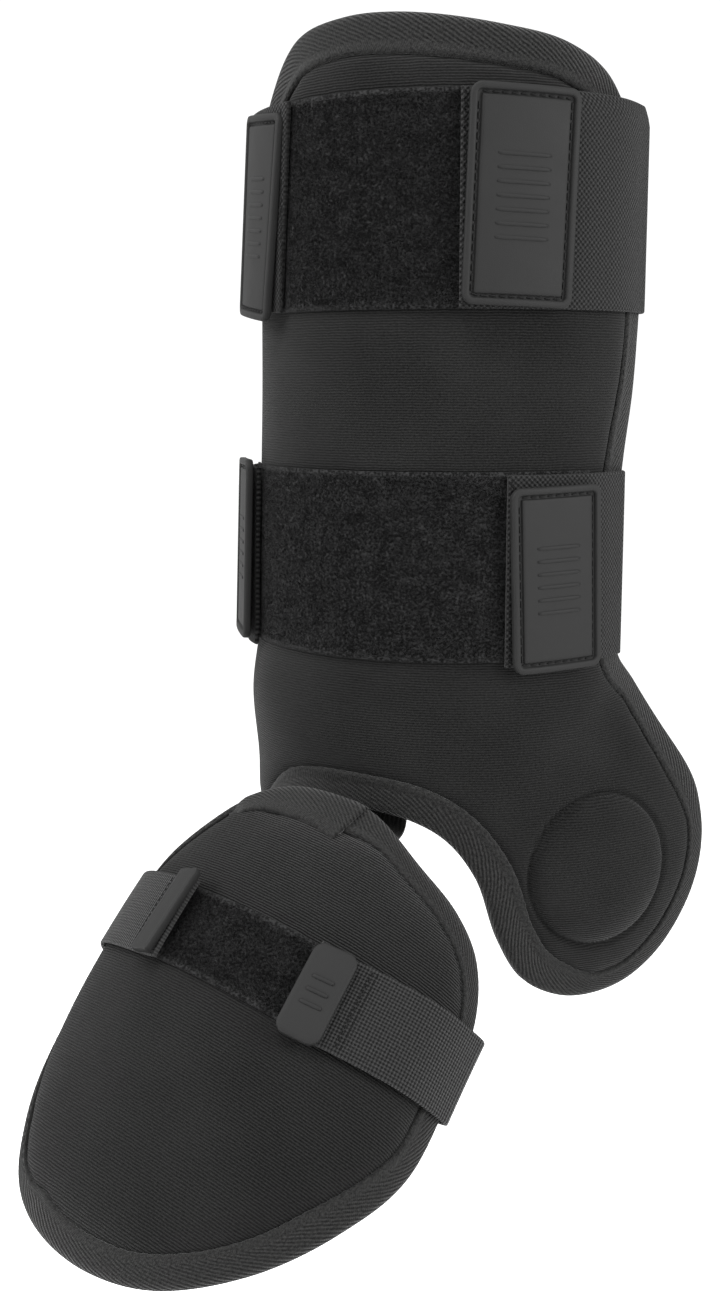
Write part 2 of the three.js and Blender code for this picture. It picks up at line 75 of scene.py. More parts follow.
# Unevenness of the faces. Columns: depth, length of its swells, seed, run from the tape to full depth
SHIN_UNEVEN = [0.22, 55, 3, 12]
FOOT_UNEVEN = [0.25, 60, 8, 12]
BACK_UNEVEN = [0.25, 48, 5, 8]
# Points worked out on each span of an outline, and points measured at once
SPAN_STEPS = 40
BLOCK = 2000
# Least and most of a ripple's waves, as shares of its length
RIPPLE_SPREAD = [0.7, 1.6]

# Edge tape, folded over the edge of a sheet
TAPE_GAP = 0.45
TAPE_THICKNESS = 1.2
TAPE_LAP = 12
SCALLOP_DEPTH = 0.35
SCALLOP_PITCH = 4.6
# Waver of the tape's inner lip
LIP_START = 8.5
WAVER_DEPTH = 0.22
WAVER_LENGTH = 19
WAVER_SEED = 21
WAVER_LIFT = 0.4
TAPE_ROUND = 3.2
TAPE_OUT = TAPE_GAP + TAPE_THICKNESS
TAPE_CORNER_STEPS = 7
TAPE_BACK_START = 6
TAPE_LIP_IN = 0.4
TAPE_INNER_POINTS = 4
# Front face of the tape. Columns: inset from the sheet's edge, lift
TAPE_FRONT = [
    [12.0, 0.45], [11.85, 1.0], [11.5, 1.45], [10.9, 1.7], [10.1, 1.75], [9.4, 1.68], [8.7, 1.5],
    [8.0, 1.45], [7.0, 1.5], [5.5, 1.6], [3.6, 1.65],
]

# Layers on the front of a sheet
PATCH_GAP = 0.4
PATCH_LIFT = CROWN + PATCH_GAP
PATCH_THICKNESS = 1.1
STRAP_GAP = 0.3
STRAP_LIFT = PATCH_LIFT + PATCH_THICKNESS + STRAP_GAP
STRAP_EDGE_LIFT = 2.3
STRAP_EDGE_RUN = 28
STRAP_THICKNESS = 1.7
TAB_GAP = 0.4
TAB_LIFT = STRAP_LIFT + STRAP_THICKNESS + TAB_GAP

# Shin sheet
SHIN_RADIUS = 72.5
FLARE_RADIUS = 350
# Columns: height, angle from the front at which the curl ends
CURL_END = [[25, 38], [120, 100], [150, 100], [215, 77]]
# Columns: height, swell of the inner side
INNER_SWELL = [[32, 1.4], [62, 3.6], [92, 0.4], [190, -1.3]]
INNER_SWELL_REACH = 80
SHIN_COLUMNS = 162
SHIN_ROWS = 234
# The finished edge, tape and all. Columns: distance round the shin from the front, height.
SHIN_SIDES = [
    [[-86, 270], [-65.5, 288], [-45, 303], [-22, 307], [0, 306.8], [35, 302.5], [61, 298], [81.5, 288.5]],
    [[98.5, 267], [106.5, 238], [108, 206], [104.5, 182], [96.5, 155], [90.5, 120], [94, 86], [107.5, 71],
     [117.5, 50], [126, 31], [130.5, 9], [126.5, -11], [112.5, -31.5]],
    [[96, -43], [80, -47], [65, -46], [49.5, -38], [39, -22], [30, 2], [18, 17.5], [3, 25], [-20, 27.5],
     [-42, 25.5], [-56, 16.5], [-70, 7], [-88, 1]],
    [[-103, 12], [-109, 40], [-110, 90], [-109, 150], [-107, 215], [-99, 248]],
]

# Round cushion moulded on the ankle lobe
ANKLE_CENTRE = [78.5, 3]
ANKLE_RADIUS = 28.5
ANKLE_RISE = 5.4
ANKLE_GROOVE = 1.5
ANKLE_GROOVE_WIDTH = 1.05
ANKLE_GROOVE_OUT = 0.6
# Powers that set how steep the cushion's side is and how round its top
ANKLE_SIDE = 4
ANKLE_TOP = 0.6
# What the tape's lap loses round the lobe. Columns: distance round the shin, loss
LOBE_HIGH_LOSS = [[50, 0], [70, 1.5]]
LOBE_LOW_LOSS = [[62, 0], [82, 4.0]]
# Columns: height, share of that loss
LOBE_HIGH_SHARE = [[72, 1], [96, 0]]
LOBE_LOW_SHARE = [[12, 1], [40, 0]]

# Foot sheet
FOOT_ORIGIN = [-18.4, -82.1, 35]
FOOT_PITCH = 45.8
FOOT_YAW = -19.9
FOOT_ROLL = 9.7
FOOT_ARCH_RADIUS = 98.8
FOOT_SIDE_START = 60
FOOT_SIDE_RADIUS = 45
FOOT_BOW_RADIUS = 373
FOOT_LENGTH = 184
FOOT_COLUMNS = 108
FOOT_ROWS = 108
FOOT_RIB_SLOPE = 0.128
# Columns: distance across from the middle, distance along (minus is toward the toe)
FOOT_SIDES = [
    [[-52, -21.5], [-38.5, -9.5], [-20, -1.5], [0, -0.5], [15.5, -2.5], [41, -15.5]],
    [[60, -25], [75.5, -37.5], [86, -55.5], [90, -82], [88, -111]],
    [[71.5, -137.5], [49, -161.5], [22, -178], [-2, -182], [-27.5, -177.5], [-47.5, -166.5]],
    [[-61, -149], [-77, -118], [-84, -90], [-83, -64], [-70, -41]],
]
# What the foot tape's lap loses. Columns: distance across, loss
OUTER_LOSS = [[10, 0], [36, 2.6]]
OUTER_HIGH_LOSS = [[14, 0], [32, 3.2]]
INNER_LOSS = [[-42, 9.0], [-20, 0]]
# Columns: distance along, share of that loss
OUTER_HIGH_SHARE = [[-95, 0], [-65, 1]]
INNER_SHARE = [[-195, 0], [-153, 1]]
# Columns: distance along, loss
TOE_LOSS = [[-160, 3.4], [-110, 0]]
# Where the foot tape's end laps over its start
LAP_LEFT = -44
LAP_RIGHT = 13
LAP_STEPS = 60
LAP_SINK = 2.0
LAP_FADE = 8
LAP_THICKNESS = 1.2
LAP_UNDER = 1.2
# The stretch of the edge that it lies on: distance across at most, distance along at least
LAP_REGION = [60, -70]
# Width of the lapped end. Columns: distance across, width
LAP_WIDTH = [[-44, 8.0], [-8, 14.2], [13, 17.3]]
# Face of the lapped end. Columns: share of the width from the outer edge, lift
LAP_TOP = [
    [-0.1, -1.0], [-0.075, 1.0], [-0.02, 2.3], [0.1, 3.0], [0.25, 3.15], [0.45, 3.1], [0.65, 3.1],
    [0.8, 3.2], [0.9, 3.25], [0.97, 3.1], [1.0, 2.7],
]

# Straps, fastening fields and tabs
UPPER_STRAP = {
    "low": 208, "high": 281, "right": 21, "left": -45.5, "left_lean": 0.085, "left_raise": 0.0,
    "right_edge": 104, "left_edge": -110, "right_reach": 22, "left_reach": 60, "right_tuck": 5,
}
LOWER_STRAP = {
    "low": 82.5, "high": 151, "right": 37.6, "left": -70, "left_lean": 0.0, "left_raise": 0.8,
    "right_edge": 90.8, "left_edge": -112, "right_reach": 9, "left_reach": 60, "right_tuck": 0,
}
# Low and high of the foot's strap and field are measured from the strap's line across the foot
FOOT_STRAP = {
    "low": -15.75, "high": 15.75, "middle": -71, "climb": -0.11, "level": 38, "right": 26, "left": -25.5,
    "right_edge": 89, "left_edge": -83.5, "right_reach": 15, "left_reach": 11,
}
# Fastening fields, with the number of loops in their pile
UPPER_PATCH = {"low": 208, "high": 281, "right": 60, "left": -68, "loops": 16000, "seed": 31}
LOWER_PATCH = {"low": 84.5, "high": 152, "right": 70, "left": -88, "loops": 16500, "seed": 37}
FOOT_PATCH = {"low": -14.5, "high": 14.5, "right": 46, "left": -50, "loops": 6500, "seed": 41}
# Stitches across the foot strap, beside its tabs: distances across
FOOT_STITCH_ROWS = [-40.6, -38.6, 44.6, 46.4]
STRAP_FRONT_STEPS = 40
TUCK_REACH = 8
RAISE_START = 66
RAISE_RUN = 14
STRAP_BACK_STEPS = 90
BAND_STATIONS = 26
# Soft edge of a band. Columns: first angle, last angle, steps
BAND_BEND = [6, 90, 5]
CURVE_STEPS = 400
PATCH_SELVAGE = 3.0
SELVAGE_RISE = 0.25
SELVAGE_BARE = 0.6
PATCH_UNDER = 0.25
PATCH_CELL = 1.6
PILE_ROOT = 0.5
PILE_SINK = 0.12
# Least and most of a loop's half span, height and yarn, and the spread of its lean
PILE_REACH = [0.35, 0.75]
PILE_HEIGHT = [0.45, 0.95]
PILE_YARN = [0.07, 0.11]
PILE_LEAN = 0.25
# What a tab is unless its own row says otherwise
TAB_REST = {"corner": 4, "turn": 0, "tilt": 0.0, "lean": 0.0, "raise": 0.0, "stiffness": 0.3}
TABS = {
    "upper_tab_right": {"at": [40.3, 245], "width": 40, "height": 73, "turn": -2},
    "upper_tab_left": {
        "at": [-66, 243], "width": 40, "height": 73, "turn": -6, "lean": -0.04, "raise": -0.7,
    },
    "lower_tab_right": {"at": [55, 114], "width": 37, "height": 66, "turn": 2},
    "lower_tab_left": {
        "at": [-84, 119], "width": 37, "height": 69,
        "turn": 1, "tilt": -0.05, "lean": -0.01, "raise": 2.2, "stiffness": 0.75,
    },
    "foot_tab_right": {"at": [32.5, -76], "width": 16, "height": 33},
    "foot_tab_left": {"at": [-30, -67], "width": 12, "height": 33, "corner": 1, "turn": -3, "tilt": 0.27},
}
TAB_CORNER_STEPS = 8
TAB_STRAIGHT_STEPS = 18
TAB_THICKNESS = 2.8
TAB_LEAST_CORNER = 0.6
# A sewn rim, the groove with its stitches, and the plate. Columns: inset, height
TAB_RIMMED = [
    [1.5, 0.0], [0.3, 0.0], [0.0, 0.35], [0.0, 2.0], [0.12, 2.4], [0.4, 2.68], [0.85, 2.8], [1.6, 2.8],
    [2.1, 2.68], [2.4, 2.4], [2.5, 1.5], [2.6, 1.35], [3.8, 1.35], [3.9, 1.5], [4.0, 1.95], [4.3, 2.15],
    [5.2, 2.2],
]
TAB_PLAIN = [
    [1.5, 0.0], [0.3, 0.0], [0.0, 0.35], [0.0, 2.0], [0.12, 2.4], [0.4, 2.68], [0.85, 2.8], [2.2, 2.85],
]
TAB_FLAT = [[1.0, 0.0], [0.15, 0.0], [0.0, 0.15], [0.0, 2.6], [0.1, 2.85], [0.35, 2.95], [2.2, 2.95]]
GRIP_PITCH = 4.6
GRIP_WIDTH = 1.5
GRIP_HEIGHT = 0.4
GRIP_SINK = 0.3
GRIP_DIP = 0.02
GRIP_STATIONS = 13
GRIP_SIDES = 7
# How far past its last station a grip would end, and the power that squares its end
GRIP_END = 0.4
GRIP_END_POWER = 8
# Shares of the tab's width and height that the grips take up
GRIP_HALF_SHARE = 0.24
GRIP_SPREAD = 0.46

# Stitches: their pitch and length, half the thread, how far in from an edge they run and how high
TAPE_SEWING = {"pitch": 3.4, "length": 2.0, "thread": 0.2, "inset": 1.0, "lift": 1.66}
PATCH_SEWING = {"pitch": 2.8, "length": 2.0, "thread": 0.19, "inset": 1.6, "lift": 0.3, "steps": 120}
TAB_SEWING = {"pitch": 3.3, "length": 2.5, "thread": 0.34, "inset": 3.2, "lift": 1.6, "corner": 1.0}
STRAP_SEWING = {"pitch": 2.2, "length": 1.5, "thread": 0.3, "lift": 0.05, "half_share": 0.46, "steps": 40}
ZIGZAG = {"pitch": 1.5, "sway": 1.4, "inset": 1.3, "margin": 1.5}
# Columns: place along half a stitch, girth
STITCH_STATIONS = [[-1.0, 0.4], [-0.75, 0.85], [0.0, 1.0], [0.75, 0.85], [1.0, 0.4]]
STITCH_SIDES = 6
STITCH_FLATNESS = 0.75

# Webbing that hangs the foot sheet from the shin sheet
HINGE_THICKNESS = 1.5
HINGE_GAP = 0.7
HINGE_LIFT = -EDGE_THICKNESS - TAPE_OUT - HINGE_GAP - HINGE_THICKNESS / 2
HINGE_FOOT = [-22, 20]
HINGE_SHIN = [-40, 0.5]
HINGE_FOOT_STATIONS = [-34, -25, -16]
HINGE_SHIN_STATIONS = [19, 38, 58]
HINGE_COLUMNS = 24
HINGE_ROWS = 48
HINGE_SPAN_STEPS = 20

# Pitches of the weaves, in metres
KNIT_RIB = 0.00096
KNIT_STITCH = 0.0013
TWILL_RIB = 0.00135
TWILL_YARN = 0.0008
WEBBING_RIB = 0.0018
WEBBING_PICK = 0.0009
THREAD_TWIST = 0.0004
# Selvage of the tape: from and to this far from its inner edge, in metres, the ribs come up
TWILL_START = [0.0042, 0.0054]
# Scales of noise, in swells to the metre
WAVER_SCALE = 160.0
FUZZ_SCALE = 2400.0

# Camera, from the photo's own perspective
PHOTO_HEIGHT = 1312
FOCAL_PIXELS = 1621
SENSOR = 36
CAMERA_AZIMUTH = 18.0
CAMERA_TILT = 9.66
CAMERA_ASIDE = -35.8
CAMERA_AWAY = 645
CAMERA_HEIGHT = 183.8
FLOOR_DROP = 170
FLOOR_SIZE = 12
WORLD_STRENGTH = 1.1
# Lamps. Columns: name, what it is aimed at, place from there in metres, size in metres, watts
LAMPS = [
    ["key", "middle", (-1.0, -0.5, 0.8), 0.7, 20.5],
    ["fill", "middle", (1.15, -0.3, 0.35), 0.8, 23],
    ["low", "toe", (-0.12, -0.2, -0.02), 0.15, 0.7],
    ["top", "middle", (-0.1, -0.45, 1.1), 0.6, 15],
]


# Curve helpers

def smoothstep(value):
    t = np.clip(value, 0.0, 1.0)
    return t * t * (3 - 2 * t)


def ramp(table, at):
    value = table[0][1]
    for (start, before), (end, after) in zip(table, table[1:]):
        value = value + (after - before) * smoothstep((at - start) / (end - start))
    return value


def mix(a, b, t):
    return a + (b - a) * t


def unit(vectors):
    return vectors / np.linalg.norm(vectors, axis=-1, keepdims=True)


def reached(trail):
    """Length along a trail of points, at each point."""
    return joined([0.0], np.cumsum(np.linalg.norm(np.diff(trail, axis=0), axis=1)))


def joined(*parts):
    return np.concatenate(parts)


def closed(trail):
    """A trail with its first point repeated at the end."""
    return joined(trail, trail[:1])


def resample(trail, lengths):
    at = reached(trail)
    return np.column_stack([np.interp(lengths, at, trail[:, axis]) for axis in range(trail.shape[1])])


def ripple(u, v, length, seed):
    """A smooth uneven field between about -1 and 1, with swells of about the given length."""
    draw = np.random.default_rng(seed)
    total = 0.0
    waves = 6
    for _ in range(waves):
        heading, phase = draw.uniform(0, 2 * math.pi, 2)
        wave = length * draw.uniform(*RIPPLE_SPREAD)
        total = total + np.sin((u * math.cos(heading) + v * math.sin(heading)) * 2 * math.pi / wave + phase)
    return total / math.sqrt(waves * 2)


# Surfaces: a base point for pattern coordinates, then the same point lifted along the normal

def shin_base(s, z):
    s, z = np.broadcast_arrays(np.asarray(s, float), np.asarray(z, float))
    curl = np.radians(ramp(CURL_END, z))
    turn = np.minimum(s / SHIN_RADIUS, curl)
    angle = turn + np.maximum(s - SHIN_RADIUS * curl, 0) / FLARE_RADIUS
    x = SHIN_RADIUS * np.sin(turn) + FLARE_RADIUS * (np.sin(angle) - np.sin(turn))
    y = -SHIN_RADIUS * np.cos(turn) - FLARE_RADIUS * (np.cos(angle) - np.cos(turn))
    swell = ramp(INNER_SWELL, z) * smoothstep(-s / INNER_SWELL_REACH)
    return np.stack([x + swell * np.sin(angle), y - swell * np.cos(angle), z], axis=-1)


def foot_axes():
    pitch, yaw, roll = np.radians([FOOT_PITCH, FOOT_YAW, FOOT_ROLL])
    along = np.array([math.sin(yaw) * math.cos(pitch), -math.cos(yaw) * math.cos(pitch), -math.sin(pitch)])
    level = np.array([math.cos(yaw), math.sin(yaw), 0.0])
    across = level * math.cos(roll) - np.cross(along, level) * math.sin(roll)
    return across, along, np.cross(along, across)


FOOT_ACROSS, FOOT_ALONG, FOOT_OUTWARD = foot_axes()


def foot_base(a, v):
    a, v = np.broadcast_arrays(np.asarray(a, float), np.asarray(v, float))
    on_arch = np.clip(a, -FOOT_SIDE_START, FOOT_SIDE_START)
    lean = on_arch / FOOT_ARCH_RADIUS
    angle = lean + (a - on_arch) / FOOT_SIDE_RADIUS
    across = FOOT_ARCH_RADIUS * np.sin(lean) + FOOT_SIDE_RADIUS * (np.sin(angle) - np.sin(lean))
    drop = FOOT_ARCH_RADIUS * (np.cos(lean) - 1) + FOOT_SIDE_RADIUS * (np.cos(angle) - np.cos(lean))
    height = drop - v * (FOOT_LENGTH + v) / (2 * FOOT_BOW_RADIUS)
    sideways = across[..., None] * FOOT_ACROSS
    return np.array(FOOT_ORIGIN) + sideways - v[..., None] * FOOT_ALONG + height[..., None] * FOOT_OUTWARD


def normal_at(base, u, v):
    reach = 0.05
    along_u = base(u + reach, v) - base(u - reach, v)
    along_v = base(u, v + reach) - base(u, v - reach)
    return unit(np.cross(along_u, along_v))


def lifted(base):
    def surface(u, v, lift):
        return base(u, v) + normal_at(base, u, v) * np.asarray(lift, float)[..., None]
    return surface


shin = lifted(shin_base)
foot = lifted(foot_base)


# Meshes

def cells(grid):
    """The four corners of each cell of a grid of indices or of pattern coordinates."""
    return np.stack([grid[:-1, :-1], grid[1:, :-1], grid[1:, 1:], grid[:-1, 1:]], axis=2)


def ringed(grid):
    """A grid with its first column repeated at the end."""
    return np.concatenate([grid, grid[:, :1]], axis=1)


def crossed(rows, columns):
    """Pattern coordinates of a grid, from those of its rows and its columns."""
    return np.stack(np.broadcast_arrays(rows[:, None], columns[None]), -1)


def add_object(name, data):
    made = bpy.data.objects.new(name, data)
    bpy.context.scene.collection.objects.link(made)
    return made


class Shape:
    """Points, four-cornered faces and their pattern coordinates, gathered block by block."""

    def __init__(self):
        self.points = []
        self.faces = []
        self.pattern = []
        self.count = 0

    def add_points(self, points):
        index = np.arange(self.count, self.count + points[..., 0].size).reshape(points.shape[:-1])
        self.points.append(points.reshape(-1, 3))
        self.count += index.size
        return index

    def add_cells(self, index, pattern):
        self.faces.append(cells(index).reshape(-1, 4))
        self.pattern.append(cells(pattern).reshape(-1, 4, 2))

    def add_loft(self, points, pattern):
        """Closed loops one after the other, whose ends are closed by strips across them."""
        index = self.add_points(points)
        self.add_cells(ringed(index), ringed(pattern))
        half = index.shape[1] // 2
        for row, order in ((0, -1), (-1, 1)):
            strip = np.stack([index[row, :half], index[row, :half - 1:-1]])
            flat = np.stack([pattern[row, :half], pattern[row, :half - 1:-1]])
            self.add_cells(strip[::order], flat[::order])

    def build(self, name, look, is_closed=True):
        points = np.concatenate(self.points)
        faces = np.concatenate(self.faces)
        pattern = np.concatenate(self.pattern)
        if is_closed:
            a, b, c, d = (points[faces[:, k]] for k in range(4))
            volume = np.sum(a * np.cross(b, c)) + np.sum(a * np.cross(c, d))
            if volume < 0:
                faces = faces[:, ::-1]
                pattern = pattern[:, ::-1]
        mesh = bpy.data.meshes.new(name)
        mesh.from_pydata((points * MM).tolist(), [], faces.tolist())
        layer = mesh.uv_layers.new(name=UV_NAME)
        layer.data.foreach_set("uv", (pattern * MM).astype(np.float32).ravel())
        mesh.materials.append(look)
        mesh.shade_smooth()
        return add_object(name, mesh)


def lofted(name, look, loops, pattern):
    shape = Shape()
    shape.add_loft(loops, pattern)
    return shape.build(name, look)


def dress(piece, slot, *nodes):
    """Fixes a piece to the guard and hides the nodes that it stands for; its material slot is not used."""
    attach(piece, "root")
    if nodes:
        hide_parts(*nodes)
    return piece


# Outlines

def closed_curve(controls, fine):
    """A smooth closed curve through the points, as one row of places for each span."""
    before = np.roll(controls, 1, 0)
    after = np.roll(controls, -1, 0)
    beyond = np.roll(controls, -2, 0)
    first, span, last = (
        np.sqrt(np.linalg.norm(q - p, axis=1, keepdims=True))
        for p, q in ((before, controls), (controls, after), (after, beyond))
    )
    ahead = (after - controls) / span
    leave = ((controls - before) / first - (after - before) / (first + span) + ahead) * span
    arrive = (ahead - (beyond - controls) / (span + last) + (beyond - after) / last) * span
    t = np.linspace(0, 1, fine, endpoint=False)[None, :, None]
    p, q, m, n = (part[:, None] for part in (controls, after, leave, arrive))
    return p + m * t + (3 * (q - p) - 2 * m - n) * t ** 2 + (2 * (p - q) + m + n) * t ** 3


def sheet_edge(sides, columns, rows):
    """The edge of the sheet inside its tape, with a set number of points on each side."""
    controls = np.array([point for side in sides for point in side], float)
    spans = closed_curve(controls, SPAN_STEPS)
    trail = closed(spans.reshape(-1, 2))
    picked = []
    first = 0
    for side, count in zip(sides, (columns, rows, columns, rows)):
        stretch = trail[first:first + len(side) * SPAN_STEPS + 1]
        total = reached(stretch)[-1]
        picked.append(resample(stretch, np.linspace(0, total, count, endpoint=False)))
        first += len(side) * SPAN_STEPS
    return inset_outline(np.concatenate(picked), TAPE_OUT)


def inset_outline(edge, inset):
    """The outline moved inward in the pattern, by one inset or by one for each point."""
    along = unit(np.roll(edge, -1, 0) - np.roll(edge, 1, 0))
    smooth = sum(np.roll(along, shift, 0) for shift in range(-SMOOTH_REACH, SMOOTH_REACH + 1))
    smooth = unit(smooth)
    return edge + inset * np.column_stack([smooth[:, 1], -smooth[:, 0]])


def fill_grid(ring, columns, rows):
    """Fills a ring of points with a grid, by blending its four sides."""
    top = ring[:columns + 1]
    right = ring[columns:columns + rows + 1]
    bottom = ring[columns + rows:2 * columns + rows + 1][::-1]
    left = joined(ring[2 * columns + rows:], ring[:1])[::-1]
    u = np.linspace(0, 1, columns + 1)[None, :, None]
    v = np.linspace(0, 1, rows + 1)[:, None, None]
    corners = mix(mix(top[0], top[-1], u), mix(bottom[0], bottom[-1], u), v)
    return mix(top[None], bottom[None], v) + mix(left[:, None], right[:, None], u) - corners


def rim_of(grid):
    """The border of a grid, in the order of the ring that it fills."""
    return joined(grid[0, :-1], grid[:-1, -1], grid[-1, :0:-1], grid[:0:-1, 0])


def depth_inside(edge, lap, points):
    """How far points are from the edge, counted as if the tape's lap were the same all round."""
    flat = points.reshape(-1, 2)
    depths = []
    for block in np.array_split(flat, max(1, len(flat) // BLOCK)):
        away = ((block[:, None] - edge[None]) ** 2).sum(-1)
        nearest = away.argmin(1)
        depths.append(np.sqrt(away.min(1)) + TAPE_LAP - lap[nearest])
    return np.concatenate(depths).reshape(points.shape[:-1])


def at_depth(depth, lap):
    """The inset at each point of the edge of a line that follows the tape's lap."""
    return np.minimum(depth, TAPE_LAP) * lap / TAPE_LAP + np.maximum(depth - TAPE_LAP, 0)


def shin_lap(edge):
    """The tape's lap on the front: narrower where it turns away round the ankle lobe."""
    s, z = edge.T
    high = ramp(LOBE_HIGH_LOSS, s) * ramp(LOBE_HIGH_SHARE, z)
    return TAPE_LAP - high - ramp(LOBE_LOW_LOSS, s) * ramp(LOBE_LOW_SHARE, z)


def foot_lap(edge):
    """The tape's lap on the front: narrower along the sides, where it turns under, and the toe."""
    a, v = edge.T
    outer = ramp(OUTER_LOSS, a) + ramp(OUTER_HIGH_LOSS, a) * ramp(OUTER_HIGH_SHARE, v)
    inner = ramp(INNER_LOSS, a) * ramp(INNER_SHARE, v)
    return TAPE_LAP - np.maximum(np.maximum(outer, inner), ramp(TOE_LOSS, v))


# Padded sheets

def crown_lift(inset):
    """The swell of the padding inside the tape, with the sewn seam drawn in beside it."""
    rise = 1 - np.exp(-np.maximum(inset - TAPE_LAP + CROWN_EARLY, 0) / CROWN_RUN)
    seam = np.exp(-((inset - TAPE_LAP - SEAM_OUT) / SEAM_WIDTH) ** 2)
    return CROWN * rise - SEAM_DEPTH * seam


def uneven(at, inset, field):
    depth, length, seed, run = field
    return depth * ripple(at[..., 0], at[..., 1], length, seed) * smoothstep((inset - TAPE_LAP) / run)


def shin_front(at, inset):
    away = np.hypot(at[..., 0] - ANKLE_CENTRE[0], at[..., 1] - ANKLE_CENTRE[1])
    inside = np.clip(1 - (away / ANKLE_RADIUS) ** ANKLE_SIDE, 0, 1)
    groove = np.exp(-((away - ANKLE_RADIUS - ANKLE_GROOVE_OUT) / ANKLE_GROOVE_WIDTH) ** 2)
    cushion = ANKLE_RISE * inside ** ANKLE_TOP - ANKLE_GROOVE * groove
    return crown_lift(inset) + cushion + uneven(at, inset, SHIN_UNEVEN)


def foot_front(at, inset):
    return crown_lift(inset) + uneven(at, inset, FOOT_UNEVEN)


def sheet_back(at, inset):
    return -EDGE_THICKNESS + uneven(at, inset, BACK_UNEVEN)


def padded_sheet(name, look, surface, edge, lap, columns, rows, front, rib_slope):
    shape = Shape()
    perimeter = reached(closed(edge))
    pucker = PUCKER_DEPTH * ripple(perimeter[:-1], 0 * perimeter[:-1], PUCKER_PITCH, PUCKER_SEED)
    walls = []
    for face, lift in enumerate((front, sheet_back)):
        insets = np.array(SHEET_RINGS[::BACK_RING_STEP] if face else SHEET_RINGS, float)
        rings = np.stack([inset_outline(edge, at_depth(inset, lap)[:, None]) for inset in insets])
        grid = fill_grid(rings[-1], columns, rows)
        depth = np.broadcast_to(insets[:, None], rings.shape[:2])
        drawn = np.exp(-((depth - TAPE_LAP) / PUCKER_REACH) ** 2) * (depth > TAPE_LAP) * (face == 0)
        drawn = drawn * smoothstep((SHEET_RINGS[-1] - depth) / PUCKER_REACH)
        heights = lift(rings, depth) + drawn * pucker
        ring_index = shape.add_points(surface(rings[:-1, :, 0], rings[:-1, :, 1], heights[:-1]))
        grid_heights = lift(grid, depth_inside(edge, lap, grid))
        grid_index = shape.add_points(surface(grid[..., 0], grid[..., 1], grid_heights))
        ring_index = joined(ring_index, rim_of(grid_index)[None])
        turn = -1 if face else 1
        for index, pattern in ((ringed(ring_index), ringed(rings)), (grid_index, grid)):
            ribs = pattern + np.stack([0 * pattern[..., 0], rib_slope * pattern[..., 0]], -1)
            shape.add_cells(index[:, ::turn], ribs[:, ::turn])
        walls.append(ring_index[0])
    wall = np.stack([walls[1], walls[0]])
    shape.add_cells(ringed(wall), ringed(np.stack([edge, edge])))
    return shape.build(name, look)


# Edge tape

def tape_section():
    """Round the folded tape, from its front inner edge and back inside. Columns: inset, lift."""
    turns = np.radians(np.linspace(90, 180, TAPE_CORNER_STEPS))
    corner = TAPE_ROUND - TAPE_OUT
    front_corner = TAPE_ROUND * np.column_stack([np.cos(turns), np.sin(turns)]) + [corner, -corner]
    middle = -EDGE_THICKNESS / 2
    back_corner = front_corner[::-1] * [1, -1] + [0, 2 * middle]
    back = [[TAPE_BACK_START, -EDGE_THICKNESS - TAPE_OUT], [TAPE_LAP, -EDGE_THICKNESS - TAPE_OUT]]
    inner = [
        [TAPE_LAP, -EDGE_THICKNESS - TAPE_GAP], [-TAPE_GAP, -EDGE_THICKNESS - TAPE_GAP],
        [-TAPE_GAP, TAPE_GAP], [TAPE_LAP - TAPE_LIP_IN, TAPE_GAP],
    ]
    return joined(TAPE_FRONT, front_corner, back_corner, back, inner)


def lapped_end(look, edge):
    """The end of the foot's tape, lying over its start at the top of the foot."""
    on_top = np.flatnonzero((edge[:, 1] > LAP_REGION[1]) & (np.abs(edge[:, 0]) < LAP_REGION[0]))
    on_top = on_top[np.argsort(edge[on_top, 0])]
    across = np.linspace(LAP_LEFT, LAP_RIGHT, LAP_STEPS)
    width = ramp(LAP_WIDTH, across)
    sink = LAP_SINK * (1 - smoothstep((across - LAP_LEFT) / LAP_FADE))
    inward = inset_outline(edge, 1.0) - edge
    start, inward = (
        np.column_stack([np.interp(across, edge[on_top, 0], part[on_top, axis]) for axis in range(2)])
        for part in (edge, inward)
    )
    tops = []
    bottoms = []
    pattern = []
    for share, lift in LAP_TOP:
        track = start + inward * (share * width)[:, None]
        tops.append(foot(*track.T, lift - sink))
        under = min(lift - LAP_THICKNESS, LAP_UNDER)
        bottoms.append(foot(*track.T, under - sink))
        pattern.append(np.column_stack([reached(start), (1 - share) * width]))
    loops = np.stack(tops + bottoms[::-1], axis=1)
    return lofted("foot_tape_end", look, loops, np.stack(pattern + pattern[::-1], axis=1))


def edge_tape(name, look, surface, edge, lap):
    """Tape of one width: what its lap on the front loses is turned under to the back."""
    section = tape_section()
    arc = reached(closed(edge))
    around = reached(closed(section))
    count = len(TAPE_FRONT)
    waver = WAVER_DEPTH * ripple(arc[:-1], 0 * arc[:-1], WAVER_LENGTH, WAVER_SEED)
    scallop = SCALLOP_DEPTH * np.abs(np.sin(math.pi * arc[:-1] / SCALLOP_PITCH))
    tracks = []
    for j, (inset, lift) in enumerate(section):
        is_front = j < count
        is_lip = is_front and inset > LIP_START
        face_lap = 2 * TAPE_LAP - lap if lift < -EDGE_THICKNESS else lap
        wide = at_depth(max(inset, 0), face_lap) + min(inset, 0) + (waver + scallop) * is_lip
        track = inset_outline(edge, wide[:, None])
        tracks.append(surface(*track.T, lift + WAVER_LIFT * waver * is_front))
    shape = Shape()
    index = shape.add_points(np.stack(tracks))
    shape.add_cells(ringed(closed(index)), crossed(around, arc)[..., ::-1])
    return shape.build(name, look)


# Straps and webbing

